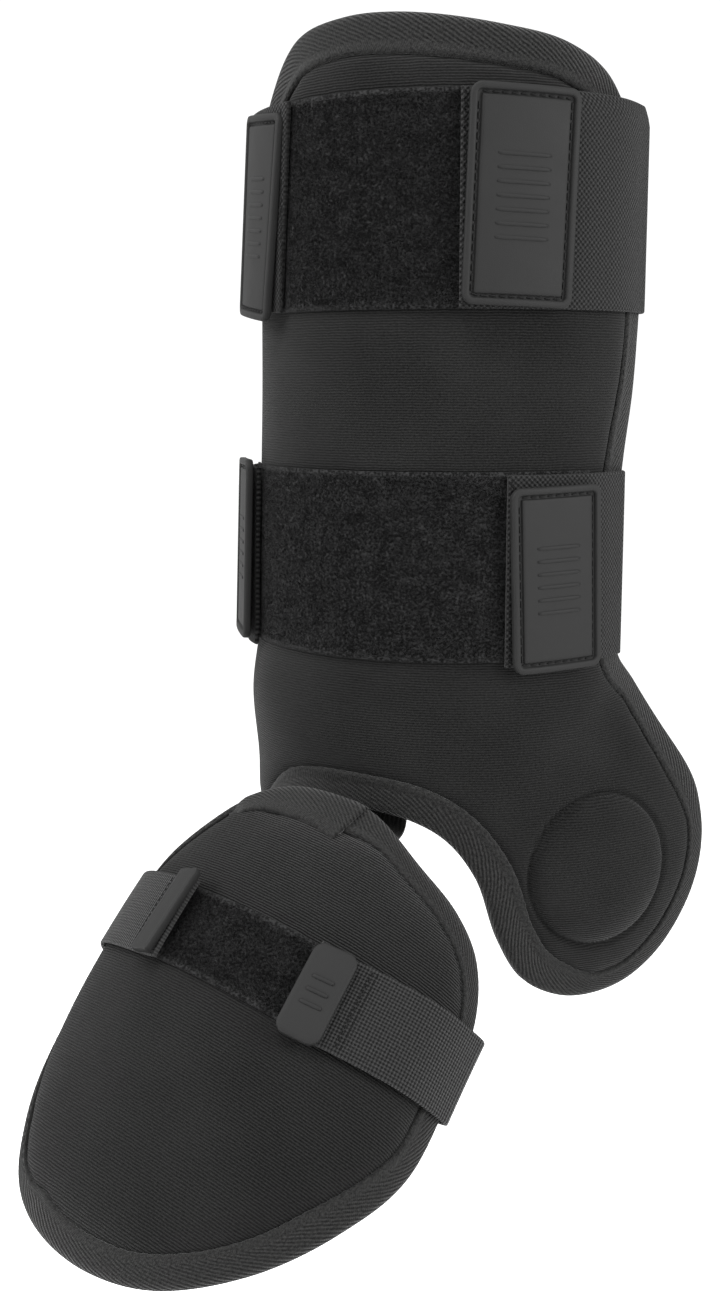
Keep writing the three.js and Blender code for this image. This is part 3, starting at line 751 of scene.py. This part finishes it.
def band_loops(width, thickness, stations):
    """Offsets across a band and heights through it, round its section with soft edges."""
    soft = thickness / 2
    bend = np.sin(np.radians(np.linspace(*BAND_BEND)))
    side = width / 2 - soft + soft * np.sqrt(1 - bend ** 2)
    flat = np.linspace(-width / 2 + soft, width / 2 - soft, stations)[1:-1]
    across = joined(-side, flat, side[::-1])
    rise = joined(bend, np.ones(len(flat)), bend[::-1]) * soft
    offsets = joined(across, across[::-1])
    heights = joined(soft + rise, soft - rise[::-1])
    return offsets, heights


def bezier_run(start, leave, arrive, end, count):
    t = np.linspace(0, 1, CURVE_STEPS)[:, None]
    back = 1 - t
    curve = back ** 3 * start + 3 * back ** 2 * t * leave + 3 * back * t ** 2 * arrive + t ** 3 * end
    return resample(curve, np.linspace(0, reached(curve)[-1], count + 1)[1:-1])


def strap_path(right, left, right_reach, left_reach):
    """From the end on one side of the front, along the sheet, across the free run and back on."""
    leave = right[-1] + unit(right[-1] - right[-2]) * right_reach
    arrive = left[0] + unit(left[0] - left[1]) * left_reach
    free = bezier_run(right[-1], leave, arrive, left[0], STRAP_BACK_STEPS)
    return joined(right, free, left)


def strap_lift(to_edge):
    return mix(STRAP_EDGE_LIFT, STRAP_LIFT, smoothstep(to_edge / STRAP_EDGE_RUN))


def leg_path(strap, offset):
    middle = (strap["low"] + strap["high"]) / 2
    z = middle + offset
    tuck = strap["right_tuck"] * smoothstep((z - strap["high"] + TUCK_REACH) / TUCK_REACH) ** 2
    on_right = np.linspace(strap["right"], strap["right_edge"] - tuck, STRAP_FRONT_STEPS)
    left_end = strap["left"] + strap["left_lean"] * (z - middle)
    on_left = np.linspace(strap["left_edge"], left_end, STRAP_FRONT_STEPS)
    right = shin(on_right, z, strap_lift(strap["right_edge"] - on_right))
    raised = strap["left_raise"] * smoothstep((-on_left - RAISE_START) / RAISE_RUN)
    left = shin(on_left, z, strap_lift(on_left - strap["left_edge"]) + raised)
    right[:, 2] = z
    left[:, 2] = z
    return strap_path(right, left, strap["right_reach"], strap["left_reach"])


def foot_line(a):
    return FOOT_STRAP["middle"] + FOOT_STRAP["climb"] * np.minimum(a, FOOT_STRAP["level"])


def foot_tab_rise(a):
    """How far the strap's end is raised with the tilted tab that it carries."""
    tab = TABS["foot_tab_left"]
    return tab["tilt"] * np.maximum(a - tab["at"][0] + tab["width"] / 2, 0)


def foot_path(strap, offset):
    def on(a, to_edge):
        return foot(a, foot_line(a) + offset, strap_lift(to_edge))
    on_right = np.linspace(strap["right"], strap["right_edge"], STRAP_FRONT_STEPS)
    on_left = np.linspace(strap["left_edge"], strap["left"], STRAP_FRONT_STEPS)
    right = on(on_right, strap["right_edge"] - on_right)
    left = on(on_left, on_left - strap["left_edge"]) + foot_tab_rise(on_left)[:, None] * FOOT_OUTWARD
    return strap_path(right, left, strap["right_reach"], strap["left_reach"])


def strap_band(name, look, path, strap, axis):
    """A soft-edged band along its paths, one for each place across its width."""
    width = strap["high"] - strap["low"]
    offsets, heights = band_loops(width, STRAP_THICKNESS, BAND_STATIONS)
    middle = reached(path(strap, 0.0))
    loops = []
    for offset, height in zip(offsets, heights):
        at = path(strap, offset)
        ahead = joined(at[1:], at[-1:]) - joined(at[:1], at[:-1])
        loops.append(at + unit(np.cross(ahead, axis)) * height)
    piece = lofted(name, look, np.stack(loops, axis=1), crossed(middle, offsets))
    return piece


def hinge_webbing(look):
    u = np.linspace(0, 1, HINGE_COLUMNS + 1)
    a = mix(HINGE_FOOT[0], HINGE_FOOT[1], u)
    s = mix(HINGE_SHIN[0], HINGE_SHIN[1], u)
    stations = [foot(a, v, HINGE_LIFT) for v in HINGE_FOOT_STATIONS]
    stations += [shin(s, z, HINGE_LIFT) for z in HINGE_SHIN_STATIONS]
    stations = np.stack(stations)
    columns = []
    for k in range(len(u)):
        controls = joined(stations[:, k], stations[::-1, k][1:-1])
        spans = closed_curve(controls, HINGE_SPAN_STEPS)[:len(stations) - 1].reshape(-1, 3)
        trail = joined(spans, stations[-1:, k])
        columns.append(resample(trail, np.linspace(0, reached(trail)[-1], HINGE_ROWS + 1)))
    middle = np.stack(columns)
    across = np.gradient(middle, axis=0)
    along = np.gradient(middle, axis=1)
    normal = unit(np.cross(across, along))
    outer = middle + normal * HINGE_THICKNESS / 2
    inner = middle - normal * HINGE_THICKNESS / 2
    loops = joined(outer, inner[::-1]).transpose(1, 0, 2)
    length = reached(middle[len(u) // 2])
    width = reached(middle[:, HINGE_ROWS // 2])
    pattern = crossed(length, joined(width, width[::-1]))
    piece = lofted("hinge_band", look, loops, pattern)
    return piece


# Fastening fields

def loop_patch(name, look, surface, place, width, height):
    """The woven ground of a fastening field, with its flat selvages a little proud."""
    columns = int(width / PATCH_CELL)
    rows = int(height / PATCH_CELL)
    u, v = np.meshgrid(np.linspace(0, 1, columns + 1), np.linspace(0, 1, rows + 1))
    s, z = place(u, v)
    from_edge = np.minimum(v, 1 - v) * height
    ground = PILE_ROOT + SELVAGE_RISE * (from_edge < PATCH_SELVAGE)
    tops = surface(s, z, PATCH_LIFT + ground)
    bottoms = surface(s, z, PATCH_LIFT - PATCH_UNDER)
    loops = joined(tops, bottoms[::-1]).transpose(1, 0, 2)
    flat = np.stack([u * width, v * height], -1)
    return lofted(name, look, loops, joined(flat, flat[::-1]).transpose(1, 0, 2))


def loop_pile(name, look, surface, place, span, field):
    """Loops of fine yarn standing all over a field: three-sided threads, rooted at both ends."""
    draw = np.random.default_rng(field["seed"])
    count = field["loops"]
    u = draw.uniform(span[0], span[1], count)
    v = draw.uniform(span[2], span[3], count)
    heading = draw.uniform(0, 2 * math.pi, count)
    reach = draw.uniform(*PILE_REACH, count)
    height = draw.uniform(*PILE_HEIGHT, count)
    lean = draw.normal(0, PILE_LEAN, (2, count))
    yarn = draw.uniform(*PILE_YARN, count)
    s, z = place(u, v)
    stations = []
    for step, rise in ((-1.0, 0.0), (0.0, 1.0), (1.0, 0.0)):
        sides = []
        for turn in np.radians([90, 210, 330]):
            side = yarn * math.cos(turn)
            up = yarn * math.sin(turn)
            ds = step * reach * np.cos(heading) - side * np.sin(heading) + rise * lean[0]
            dz = step * reach * np.sin(heading) + side * np.cos(heading) + rise * lean[1]
            sides.append(surface(s + ds, z + dz, PATCH_LIFT + PILE_ROOT - PILE_SINK + rise * height + up))
        stations.append(np.stack(sides))
    points = np.stack(stations).transpose(2, 0, 1, 3)
    shape = Shape()
    index = shape.add_points(points)
    ends = np.concatenate([index, index[:, :, :1]], axis=2)
    corners = cells(ends.transpose(1, 2, 0)).transpose(3, 0, 1, 2)
    shape.faces.append(corners.reshape(-1, 4))
    own = np.stack([s, z], -1)[:, None, None, None]
    shape.pattern.append(np.broadcast_to(own, (*corners.shape, 2)).reshape(-1, 4, 2))
    return shape.build(name, look, is_closed=False)


# Pull tabs

def rounded_rectangle(width, height, corner):
    """Points round a rectangle, along its top from left to right and back along its bottom."""
    turns = np.linspace(0, math.pi / 2, TAB_CORNER_STEPS + 1)
    straight = width / 2 - corner
    side = height / 2 - corner
    right = np.column_stack([straight + corner * np.sin(turns), side + corner * np.cos(turns)])
    left = right[::-1] * [-1, 1]
    between = np.linspace(-straight, straight, TAB_STRAIGHT_STEPS + 1)[1:-1]
    middle = np.column_stack([between, 0 * between + height / 2])
    top = joined(left, middle, right)
    return joined(top, top[::-1] * [1, -1])


def tab_place(base, radius, tab):
    """Where a place on the tab lies: partly bent with the strap, partly stiff."""
    surface = lifted(base)
    u, v = tab["at"]
    outward = normal_at(base, u, v)
    up = unit(base(u, v + 1) - base(u, v - 1))
    sideways = np.cross(up, outward)
    shrink = radius / (radius + TAB_LIFT + TAB_THICKNESS)
    turn = math.radians(tab["turn"])
    half = tab["width"] / 2

    def place(x, y, height):
        lift = TAB_LIFT + tab["raise"] + height + tab["tilt"] * (x + half) + tab["lean"] * y
        across = x * math.cos(turn) - y * math.sin(turn)
        along = x * math.sin(turn) + y * math.cos(turn)
        flat = base(u, v) + outward * lift[..., None] + across[..., None] * sideways + along[..., None] * up
        return mix(surface(u + across * shrink, v + along, lift), flat, tab["stiffness"])
    return place


def pull_tab(name, look, place, tab, section):
    shape = Shape()
    loops = []
    pattern = []
    for inset, height in section:
        corner = max(tab["corner"] - inset, TAB_LEAST_CORNER)
        ring = rounded_rectangle(tab["width"] - 2 * inset, tab["height"] - 2 * inset, corner)
        loops.append(place(*ring.T, height))
        pattern.append(ring)
    shape.add_loft(np.stack(loops), np.stack(pattern))
    if section is not TAB_FLAT:
        add_grips(shape, place, tab, section[-1][1])
    return shape.build(name, look)


def add_grips(shape, place, tab, ground):
    """Raised bars across the middle of the tab, for the fingers."""
    half = GRIP_HALF_SHARE * tab["width"]
    bars = int(GRIP_SPREAD * tab["height"] / GRIP_PITCH)
    x = np.linspace(-half, half, GRIP_STATIONS)
    turns = np.linspace(0, math.pi, GRIP_SIDES)
    round_end = np.sqrt(np.clip(1 - (np.abs(x) / (half + GRIP_END)) ** GRIP_END_POWER, 0, 1))
    flat = crossed(x, joined(turns, turns[::-1]))
    for k in range(bars):
        y = (k - (bars - 1) / 2) * GRIP_PITCH
        loops = []
        for offset, fade in zip(x, round_end):
            across = y + GRIP_WIDTH / 2 * fade * np.cos(turns)
            over = ground + GRIP_HEIGHT * fade * np.sin(turns) - GRIP_DIP
            top = place(offset, across, over)
            under = place(offset, across, ground - GRIP_SINK)
            loops.append(joined(top, under[::-1]))
        shape.add_loft(np.stack(loops)[::-1], flat[::-1])


# Stitches

def sewn(name, look, lines, thread):
    """Short rounded threads between pairs of points, a little flattened on what they sew."""
    starts, ends, outward = (np.concatenate(parts) for parts in zip(*lines))
    centre = (starts + ends) / 2
    reach = (ends - starts) / 2
    side = unit(np.cross(outward, reach))
    up = STITCH_FLATNESS * unit(np.cross(reach, side))
    turns = np.linspace(0, 2 * math.pi, STITCH_SIDES, endpoint=False)
    loops = []
    for along, girth in STITCH_STATIONS:
        middle = centre + along * reach
        ring = [middle + thread * girth * (math.cos(t) * side + math.sin(t) * up) for t in turns]
        loops.append(np.stack(ring, axis=1))
    points = np.stack(loops, axis=1)
    shape = Shape()
    for one in points:
        flat = np.zeros((*one.shape[:2], 2))
        flat[..., 0] = thread * turns
        flat[..., 1] = thread * np.arange(len(one))[:, None]
        shape.add_loft(one, flat)
    return shape.build(name, look)


def sew_line(trail, outward, sewing):
    """Starts and ends of stitches along a trail of points, with the outward direction of each."""
    pitch = sewing["pitch"]
    length = sewing["length"]
    firsts = np.arange(pitch / 2, reached(trail)[-1] - length, pitch)
    starts = resample(trail, firsts)
    ends = resample(trail, firsts + length)
    return starts, ends, unit(resample(trail + outward, firsts) - starts)


def pattern_line(base, u, v, lift):
    """A trail over a surface and its outward directions, for sew_line."""
    return lifted(base)(u, v, lift), normal_at(base, u, v)


# Materials

def grey(level, blue=None):
    return level, level, level if blue is None else blue


class Look:
    """A material's nodes, with short calls for the ones used here."""

    def __init__(self, name, specular, sheen=0.0, sheen_roughness=0.5):
        self.material = bpy.data.materials.new(name)
        self.material.use_nodes = True
        self.tree = self.material.node_tree
        self.shader = self.tree.nodes["Principled BSDF"].inputs
        self.shader["Specular IOR Level"].default_value = specular
        self.shader["Sheen Weight"].default_value = sheen
        self.shader["Sheen Roughness"].default_value = sheen_roughness

    def node(self, kind, inputs, **settings):
        made = self.tree.nodes.new(kind)
        for setting, value in settings.items():
            setattr(made, setting, value)
        for socket, value in inputs.items():
            self.feed(made.inputs[socket], value)
        return made

    def feed(self, socket, value):
        if isinstance(value, bpy.types.NodeSocket):
            self.tree.links.new(value, socket)
        else:
            socket.default_value = value

    def weave(self):
        return self.node("ShaderNodeUVMap", {}, uv_map=UV_NAME).outputs["UV"]

    def split(self, vector):
        parts = self.node("ShaderNodeSeparateXYZ", {"Vector": vector}).outputs
        return parts["X"], parts["Y"]

    def math(self, operation, a, b=0.0):
        return self.node("ShaderNodeMath", {0: a, 1: b}, operation=operation).outputs[0]

    def times(self, a, b):
        return self.math("MULTIPLY", a, b)

    def plus(self, a, b):
        return self.math("ADD", a, b)

    def wave(self, value, pitch):
        return self.math("SINE", self.times(value, 2 * math.pi / pitch))

    def noise(self, scale, detail=2.0, vector=None):
        inputs = {"Scale": scale, "Detail": detail, "Vector": vector or self.weave()}
        return self.node("ShaderNodeTexNoise", inputs).outputs["Fac"]

    def spread(self, value, low=0.0, high=1.0, start=0.3, end=0.7):
        inputs = {"Value": value, "From Min": start, "From Max": end, "To Min": low, "To Max": high}
        return self.node("ShaderNodeMapRange", inputs).outputs["Result"]

    def shade(self, factor, dark, light):
        inputs = {"Factor": factor, "A": (*dark, 1.0), "B": (*light, 1.0)}
        made = self.node("ShaderNodeMix", {}, data_type="RGBA")
        colours = {s.name: s for s in made.inputs if s.enabled}
        for socket, value in inputs.items():
            self.feed(colours[socket], value)
        return next(s for s in made.outputs if s.enabled)

    def finish(self, colour, roughness, height, distance, strength=1.0):
        bump = self.node("ShaderNodeBump", {"Height": height, "Distance": distance, "Strength": strength})
        self.feed(self.shader["Base Color"], colour)
        self.feed(self.shader["Roughness"], roughness)
        self.feed(self.shader["Normal"], bump.outputs["Normal"])
        return self.material


def knit_look(name, ribbing):
    """Ribbed knit: fine courses across the sheet, each broken into its stitches."""
    look = Look(name, specular=0.06, sheen=0.055, sheen_roughness=0.42)
    u, v = look.split(look.weave())
    waver = look.times(look.noise(WAVER_SCALE), 0.0007)
    rib = look.wave(look.plus(v, waver), KNIT_RIB)
    stitch = look.wave(u, KNIT_STITCH)
    fuzz = look.noise(2600.0, 3.0)
    height = look.plus(look.times(rib, look.spread(stitch, 0.75, 1.0, -1.0, 1.0)), fuzz)
    # Colour: random tone, plus painted shade in the valleys between the rib courses, taken from the rib
    # wave
    tone_and_rib_shade = look.plus(look.times(look.noise(30.0, 4.0), 0.5), look.times(rib, 0.3 * ribbing))
    tone_and_rib_shade = look.plus(tone_and_rib_shade, look.times(look.noise(1300.0, 2.0), 0.9))
    tone = look.spread(tone_and_rib_shade, 0.0, 1.0, 0.35, 1.05)
    colour = look.shade(tone, grey(0.0014), grey(0.0114, 0.0112))
    return look.finish(colour, look.spread(fuzz, 0.78, 0.95), height, 0.00024, ribbing)


def tape_look():
    """Twill tape: slanting ribs, with the yarns crossing them, and a plain selvage at its inner edge."""
    look = Look("tape", specular=0.08, sheen=0.085, sheen_roughness=0.42)
    u, v = look.split(look.weave())
    slant = look.plus(look.times(u, 0.45), look.times(v, 0.89))
    waver = look.times(look.noise(WAVER_SCALE), 0.0009)
    ribbed = look.spread(v, 0.12, 1.0, *TWILL_START)
    rib = look.times(look.wave(look.plus(slant, waver), TWILL_RIB), ribbed)
    yarn = look.wave(look.math("SUBTRACT", u, look.times(v, 0.4)), TWILL_YARN)
    fuzz = look.noise(FUZZ_SCALE, 3.0)
    height = look.plus(rib, look.plus(look.times(yarn, 0.25), fuzz))
    # Colour: random tone, plus painted shade in the valleys between the twill ribs, taken from the rib wave
    tone = look.plus(look.noise(1100.0, 3.0), look.times(rib, 0.14))
    colour = look.shade(look.spread(tone), grey(0.003), grey(0.0168, 0.0164))
    return look.finish(colour, look.spread(fuzz, 0.72, 0.92), height, 0.00016)


def elastic_look(name, pitch, is_square, light, sheen):
    """Woven elastic: a close grid of floats between the rubber ends, staggered or square."""
    look = Look(name, specular=0.1, sheen=sheen, sheen_roughness=0.42)
    u, v = look.split(look.weave())
    across = look.wave(v, pitch)
    along = look.wave(u, pitch)
    both = look.math("ADD" if is_square else "MULTIPLY", across, along)
    floats = look.times(both, 0.6 if is_square else 1.0)
    fuzz = look.noise(FUZZ_SCALE, 3.0)
    height = look.plus(floats, fuzz)
    # Colour: random tone, plus painted shade between the raised floats, taken from the float pattern
    tone = look.plus(look.noise(1300.0, 2.0), look.times(floats, 0.4))
    colour = look.shade(look.spread(tone, 0.0, 1.0, 0.15, 0.9), grey(0.0004), grey(light))
    return look.finish(colour, look.spread(fuzz, 0.7, 0.9), height, 0.00026)


def webbing_look():
    """Plain woven webbing with ribs along its length."""
    look = Look("webbing", specular=0.1, sheen=0.02, sheen_roughness=0.45)
    u, v = look.split(look.weave())
    ribs = look.wave(v, WEBBING_RIB)
    picks = look.wave(u, WEBBING_PICK)
    fuzz = look.noise(FUZZ_SCALE, 3.0)
    height = look.plus(look.times(ribs, look.spread(picks, 0.5, 1.0, -1.0, 1.0)), fuzz)
    colour = look.shade(look.spread(look.noise(50.0, 4.0)), grey(0.01), grey(0.02, 0.0195))
    return look.finish(colour, look.spread(fuzz, 0.74, 0.92), height, 0.00025)


def pile_look():
    """Napped loop yarn, in darker and lighter random patches, with a fine painted speckle of lit loop tops
    and shaded gaps.
    """
    look = Look("loop_pile", specular=0.08, sheen=0.02, sheen_roughness=0.4)
    fuzz = look.noise(3200.0, 3.0)
    # Larger random patches of tone, and a fine speckle that is painted light and shade: lit loop tops and
    # the shaded gaps between them
    patches_and_speckle_shade = look.plus(look.noise(150.0, 3.0), look.times(look.noise(1000.0, 2.0), 3.0))
    colour = look.shade(look.spread(patches_and_speckle_shade, 0.0, 1.0, 1.75, 2.4), grey(0.0012), grey(0.0155, 0.0157))
    return look.finish(colour, look.spread(fuzz, 0.85, 1.0), fuzz, 0.0003)


def rubber_look():
    """Moulded soft rubber with a fine matt skin, a little scuffed."""
    look = Look("rubber", specular=0.15)
    grain = look.noise(3000.0, 2.0)
    scuff = look.noise(70.0, 5.0)
    colour = look.shade(look.spread(scuff), grey(0.0066), grey(0.009, 0.0089))
    roughness = look.spread(look.plus(scuff, look.times(grain, 0.3)), 0.6, 0.74, 0.4, 0.9)
    return look.finish(colour, roughness, grain, 0.00005)


def thread_look(name, dark, light):
    """Twisted sewing thread."""
    look = Look(name, specular=0.1, sheen=0.02)
    u, v = look.split(look.weave())
    twist = look.wave(look.plus(u, v), THREAD_TWIST)
    # Colour follows the twist: painted shade in the grooves between the plies
    colour = look.shade(look.spread(twist, 0.0, 1.0, -1.0, 1.0), grey(dark), grey(light))
    return look.finish(colour, look.spread(twist, 0.55, 0.75, -1.0, 1.0), twist, 0.00005)


def floor_look():
    look = Look("studio_floor", specular=0.2)
    tone = look.spread(look.noise(3.0))
    colour = look.shade(tone, grey(0.93), grey(0.96))
    return look.finish(colour, look.spread(tone, 0.8, 0.9, 0.0, 1.0), tone, 0.0001)


# The guard

def place_in(field):
    """Pattern coordinates of a place in a field, from shares of its width and height."""
    def place(u, v):
        across = mix(field["left"], field["right"], u)
        line = foot_line(across) if field is FOOT_PATCH else 0.0
        return across, line + mix(field["high"], field["low"], v)
    return place


def make_sheets(looks):
    jobs = (
        ("shin", shin_base, SHIN_SIDES, SHIN_COLUMNS, SHIN_ROWS, shin_lap, shin_front, 0.0),
        ("foot", foot_base, FOOT_SIDES, FOOT_COLUMNS, FOOT_ROWS, foot_lap, foot_front, FOOT_RIB_SLOPE),
    )
    nodes = {"shin": ("shin_pad", "ankle_pad"), "foot": ("foot_pad",)}
    for name, base, sides, columns, rows, lap_of, front, slope in jobs:
        surface = lifted(base)
        edge = sheet_edge(sides, columns, rows)
        lap = lap_of(edge)
        knit = looks[name + "_knit"]
        pad = padded_sheet(name + "_sheet", knit, surface, edge, lap, columns, rows, front, slope)
        dress(pad, "knit", *nodes[name])
        tape = edge_tape(name + "_tape", looks["tape"], surface, edge, lap)
        dress(tape, "tape", name + "_binding")
        around = reached(closed(edge))[-1]
        section = reached(tape_section()[:-TAPE_INNER_POINTS])[-1]
        line = closed(inset_outline(edge, lap[:, None] - TAPE_SEWING["inset"]))
        lines = [sew_line(*pattern_line(base, *line.T, TAPE_SEWING["lift"]), TAPE_SEWING)]
        thread = sewn(name + "_tape_stitches", looks["thread"], lines, TAPE_SEWING["thread"])
        with_tape = [dress(thread, "tape")]
        if name == "foot":
            with_tape.append(dress(lapped_end(looks["tape"], edge), "tape"))


def make_straps(looks):
    up = np.array([0.0, 0.0, 1.0])
    jobs = (
        ("upper_strap", "elastic", leg_path, UPPER_STRAP, up),
        ("lower_strap", "elastic", leg_path, LOWER_STRAP, up),
        ("foot_strap", "fine", foot_path, FOOT_STRAP, -FOOT_ALONG),
    )
    for name, weave, path, strap, axis in jobs:
        dress(strap_band(name + "_band", looks[weave], path, strap, axis), "elastic", name)
    dress(hinge_webbing(looks["webbing"]), "webbing", "hinge_webbing")


def make_patches(looks):
    jobs = (
        ("upper_loop_patch", shin_base, UPPER_PATCH, UPPER_STRAP, "shin_sheet"),
        ("lower_loop_patch", shin_base, LOWER_PATCH, LOWER_STRAP, "shin_sheet"),
        ("foot_loop_patch", foot_base, FOOT_PATCH, FOOT_STRAP, "foot_sheet"),
    )
    for name, base, field, strap, under in jobs:
        surface = lifted(base)
        place = place_in(field)
        width = field["right"] - field["left"]
        height = field["high"] - field["low"]
        ground = loop_patch(name + "_ground", looks["pile"], surface, place, width, height)
        dress(ground, "loop_pile", name)
        border = PATCH_SELVAGE * SELVAGE_BARE / height
        ends = [(strap[end] - field["left"]) / width for end in ("left", "right")]
        span = (*ends, border, 1 - border)
        pile = loop_pile(name + "_pile", looks["pile"], surface, place, span, field)
        dress(pile, "loop_pile")
        u = np.linspace(0, 1, PATCH_SEWING["steps"])
        inset = PATCH_SEWING["inset"] / height
        lift = PATCH_LIFT + PILE_ROOT + PATCH_SEWING["lift"]
        trails = [pattern_line(base, *place(u, v), lift) for v in (inset, 1 - inset)]
        lines = [sew_line(*trail, PATCH_SEWING) for trail in trails]
        thread = sewn(name + "_stitches", looks["dark_thread"], lines, PATCH_SEWING["thread"])
        dress(thread, "loop_pile")


def make_tabs(looks):
    sections = {"foot_tab_right": TAB_PLAIN, "foot_tab_left": TAB_FLAT}
    lines = []
    for name, own in TABS.items():
        tab = {**TAB_REST, **own}
        section = sections.get(name, TAB_RIMMED)
        is_foot = name.startswith("foot")
        radius = FOOT_ARCH_RADIUS if is_foot else SHIN_RADIUS
        place = tab_place(foot_base if is_foot else shin_base, radius, tab)
        dress(pull_tab(name + "_moulding", looks["rubber"], place, tab, section), "rubber", name)
        if section is TAB_RIMMED:
            inset = 2 * TAB_SEWING["inset"]
            ring = rounded_rectangle(tab["width"] - inset, tab["height"] - inset, TAB_SEWING["corner"])
            ring = closed(ring)
            trail = place(*ring.T, TAB_SEWING["lift"])
            above = place(*ring.T, TAB_SEWING["lift"] + 1)
            lines.append(sew_line(trail, above - trail, TAB_SEWING))
    dress(sewn("tab_stitches", looks["thread"], lines, TAB_SEWING["thread"]), "rubber")


def zigzag(s, low, high, lift):
    """Zigzag stitches up a line on the shin."""
    count = int((high - low) / ZIGZAG["pitch"])
    z = np.linspace(low, high, count + 1)
    side = s + ZIGZAG["sway"] * np.where(np.arange(count + 1) % 2, 0.5, -0.5)
    trail, outward = pattern_line(shin_base, side, z, lift)
    return trail[:-1], trail[1:], outward[:-1]


def make_strap_stitches(looks):
    """The sewn ends of the straps, beside the tabs."""
    top = STRAP_LIFT + STRAP_THICKNESS + STRAP_SEWING["lift"]
    lines = []
    for strap in (UPPER_STRAP, LOWER_STRAP):
        low = strap["low"] + ZIGZAG["margin"]
        high = strap["high"] - ZIGZAG["margin"]
        for end, inward in ((strap["right"], 1), (strap["left"], -1)):
            lines.append(zigzag(end + ZIGZAG["inset"] * inward, low, high, top))
    half = STRAP_SEWING["half_share"]
    across = np.linspace(-half, half, STRAP_SEWING["steps"]) * (FOOT_STRAP["high"] - FOOT_STRAP["low"])
    for a in FOOT_STITCH_ROWS:
        trail, outward = pattern_line(foot_base, a, foot_line(a) + across, top)
        lines.append(sew_line(trail, outward, STRAP_SEWING))
    dress(sewn("strap_stitches", looks["dark_thread"], lines, STRAP_SEWING["thread"]), "elastic")


# Studio

def aim(made, place, forward):
    made.location = place
    made.rotation_mode = "QUATERNION"
    made.rotation_quaternion = forward.to_track_quat("-Z", "Y")


def make_camera():
    azimuth = math.radians(CAMERA_AZIMUTH)
    tilt = math.radians(CAMERA_TILT)
    right = Vector((math.cos(azimuth), math.sin(azimuth), 0))
    toward = Vector((math.sin(azimuth), -math.cos(azimuth), 0))
    data = bpy.data.cameras.new("camera")
    data.sensor_width = SENSOR
    data.lens = SENSOR * FOCAL_PIXELS / PHOTO_HEIGHT
    camera = add_object("camera", data)
    place = (CAMERA_ASIDE * right + CAMERA_AWAY * toward + Vector((0, 0, CAMERA_HEIGHT))) * MM
    aim(camera, place, -toward * math.cos(tilt) - Vector((0, 0, math.sin(tilt))))
    bpy.context.scene.camera = camera


def soft_light(name, place, target, size, power):
    data = bpy.data.lights.new(name, "AREA")
    data.shape = "DISK"
    data.size = size
    data.energy = power
    aim(add_object(name, data), place, target - place)


def make_studio():
    low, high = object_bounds()
    aims = {"middle": (low + high) / 2, "toe": low}
    world = bpy.data.worlds.new("studio")
    world.use_nodes = True
    background = world.node_tree.nodes["Background"].inputs
    background["Color"].default_value = (1.0, 1.0, 1.0, 1.0)
    background["Strength"].default_value = WORLD_STRENGTH
    bpy.context.scene.world = world
    for name, target, away, size, power in LAMPS:
        soft_light(name, aims[target] + Vector(away), aims[target], size, power)
    bpy.ops.mesh.primitive_plane_add(size=FLOOR_SIZE, location=(0, 0, low.z - FLOOR_DROP * MM))
    floor = bpy.context.object
    floor.name = "floor"
    floor.data.uv_layers[0].name = UV_NAME
    floor.data.materials.append(floor_look())
    bpy.context.scene.view_settings.view_transform = "Standard"


def main():
    looks = {
        "shin_knit": knit_look("knit", ribbing=0.6),
        "foot_knit": knit_look("foot_knit", ribbing=1.0),
        "tape": tape_look(),
        "webbing": webbing_look(),
        "elastic": elastic_look("elastic", pitch=0.002, is_square=False, light=0.0185, sheen=0.035),
        "fine": elastic_look("fine_elastic", pitch=0.0012, is_square=True, light=0.0215, sheen=0.08),
        "pile": pile_look(),
        "rubber": rubber_look(),
        "thread": thread_look("thread", dark=0.004, light=0.0105),
        "dark_thread": thread_look("dark_thread", dark=0.0004, light=0.0016),
    }
    make_camera()
    make_sheets(looks)
    make_straps(looks)
    make_patches(looks)
    make_tabs(looks)
    make_strap_stitches(looks)
    make_studio()


main()
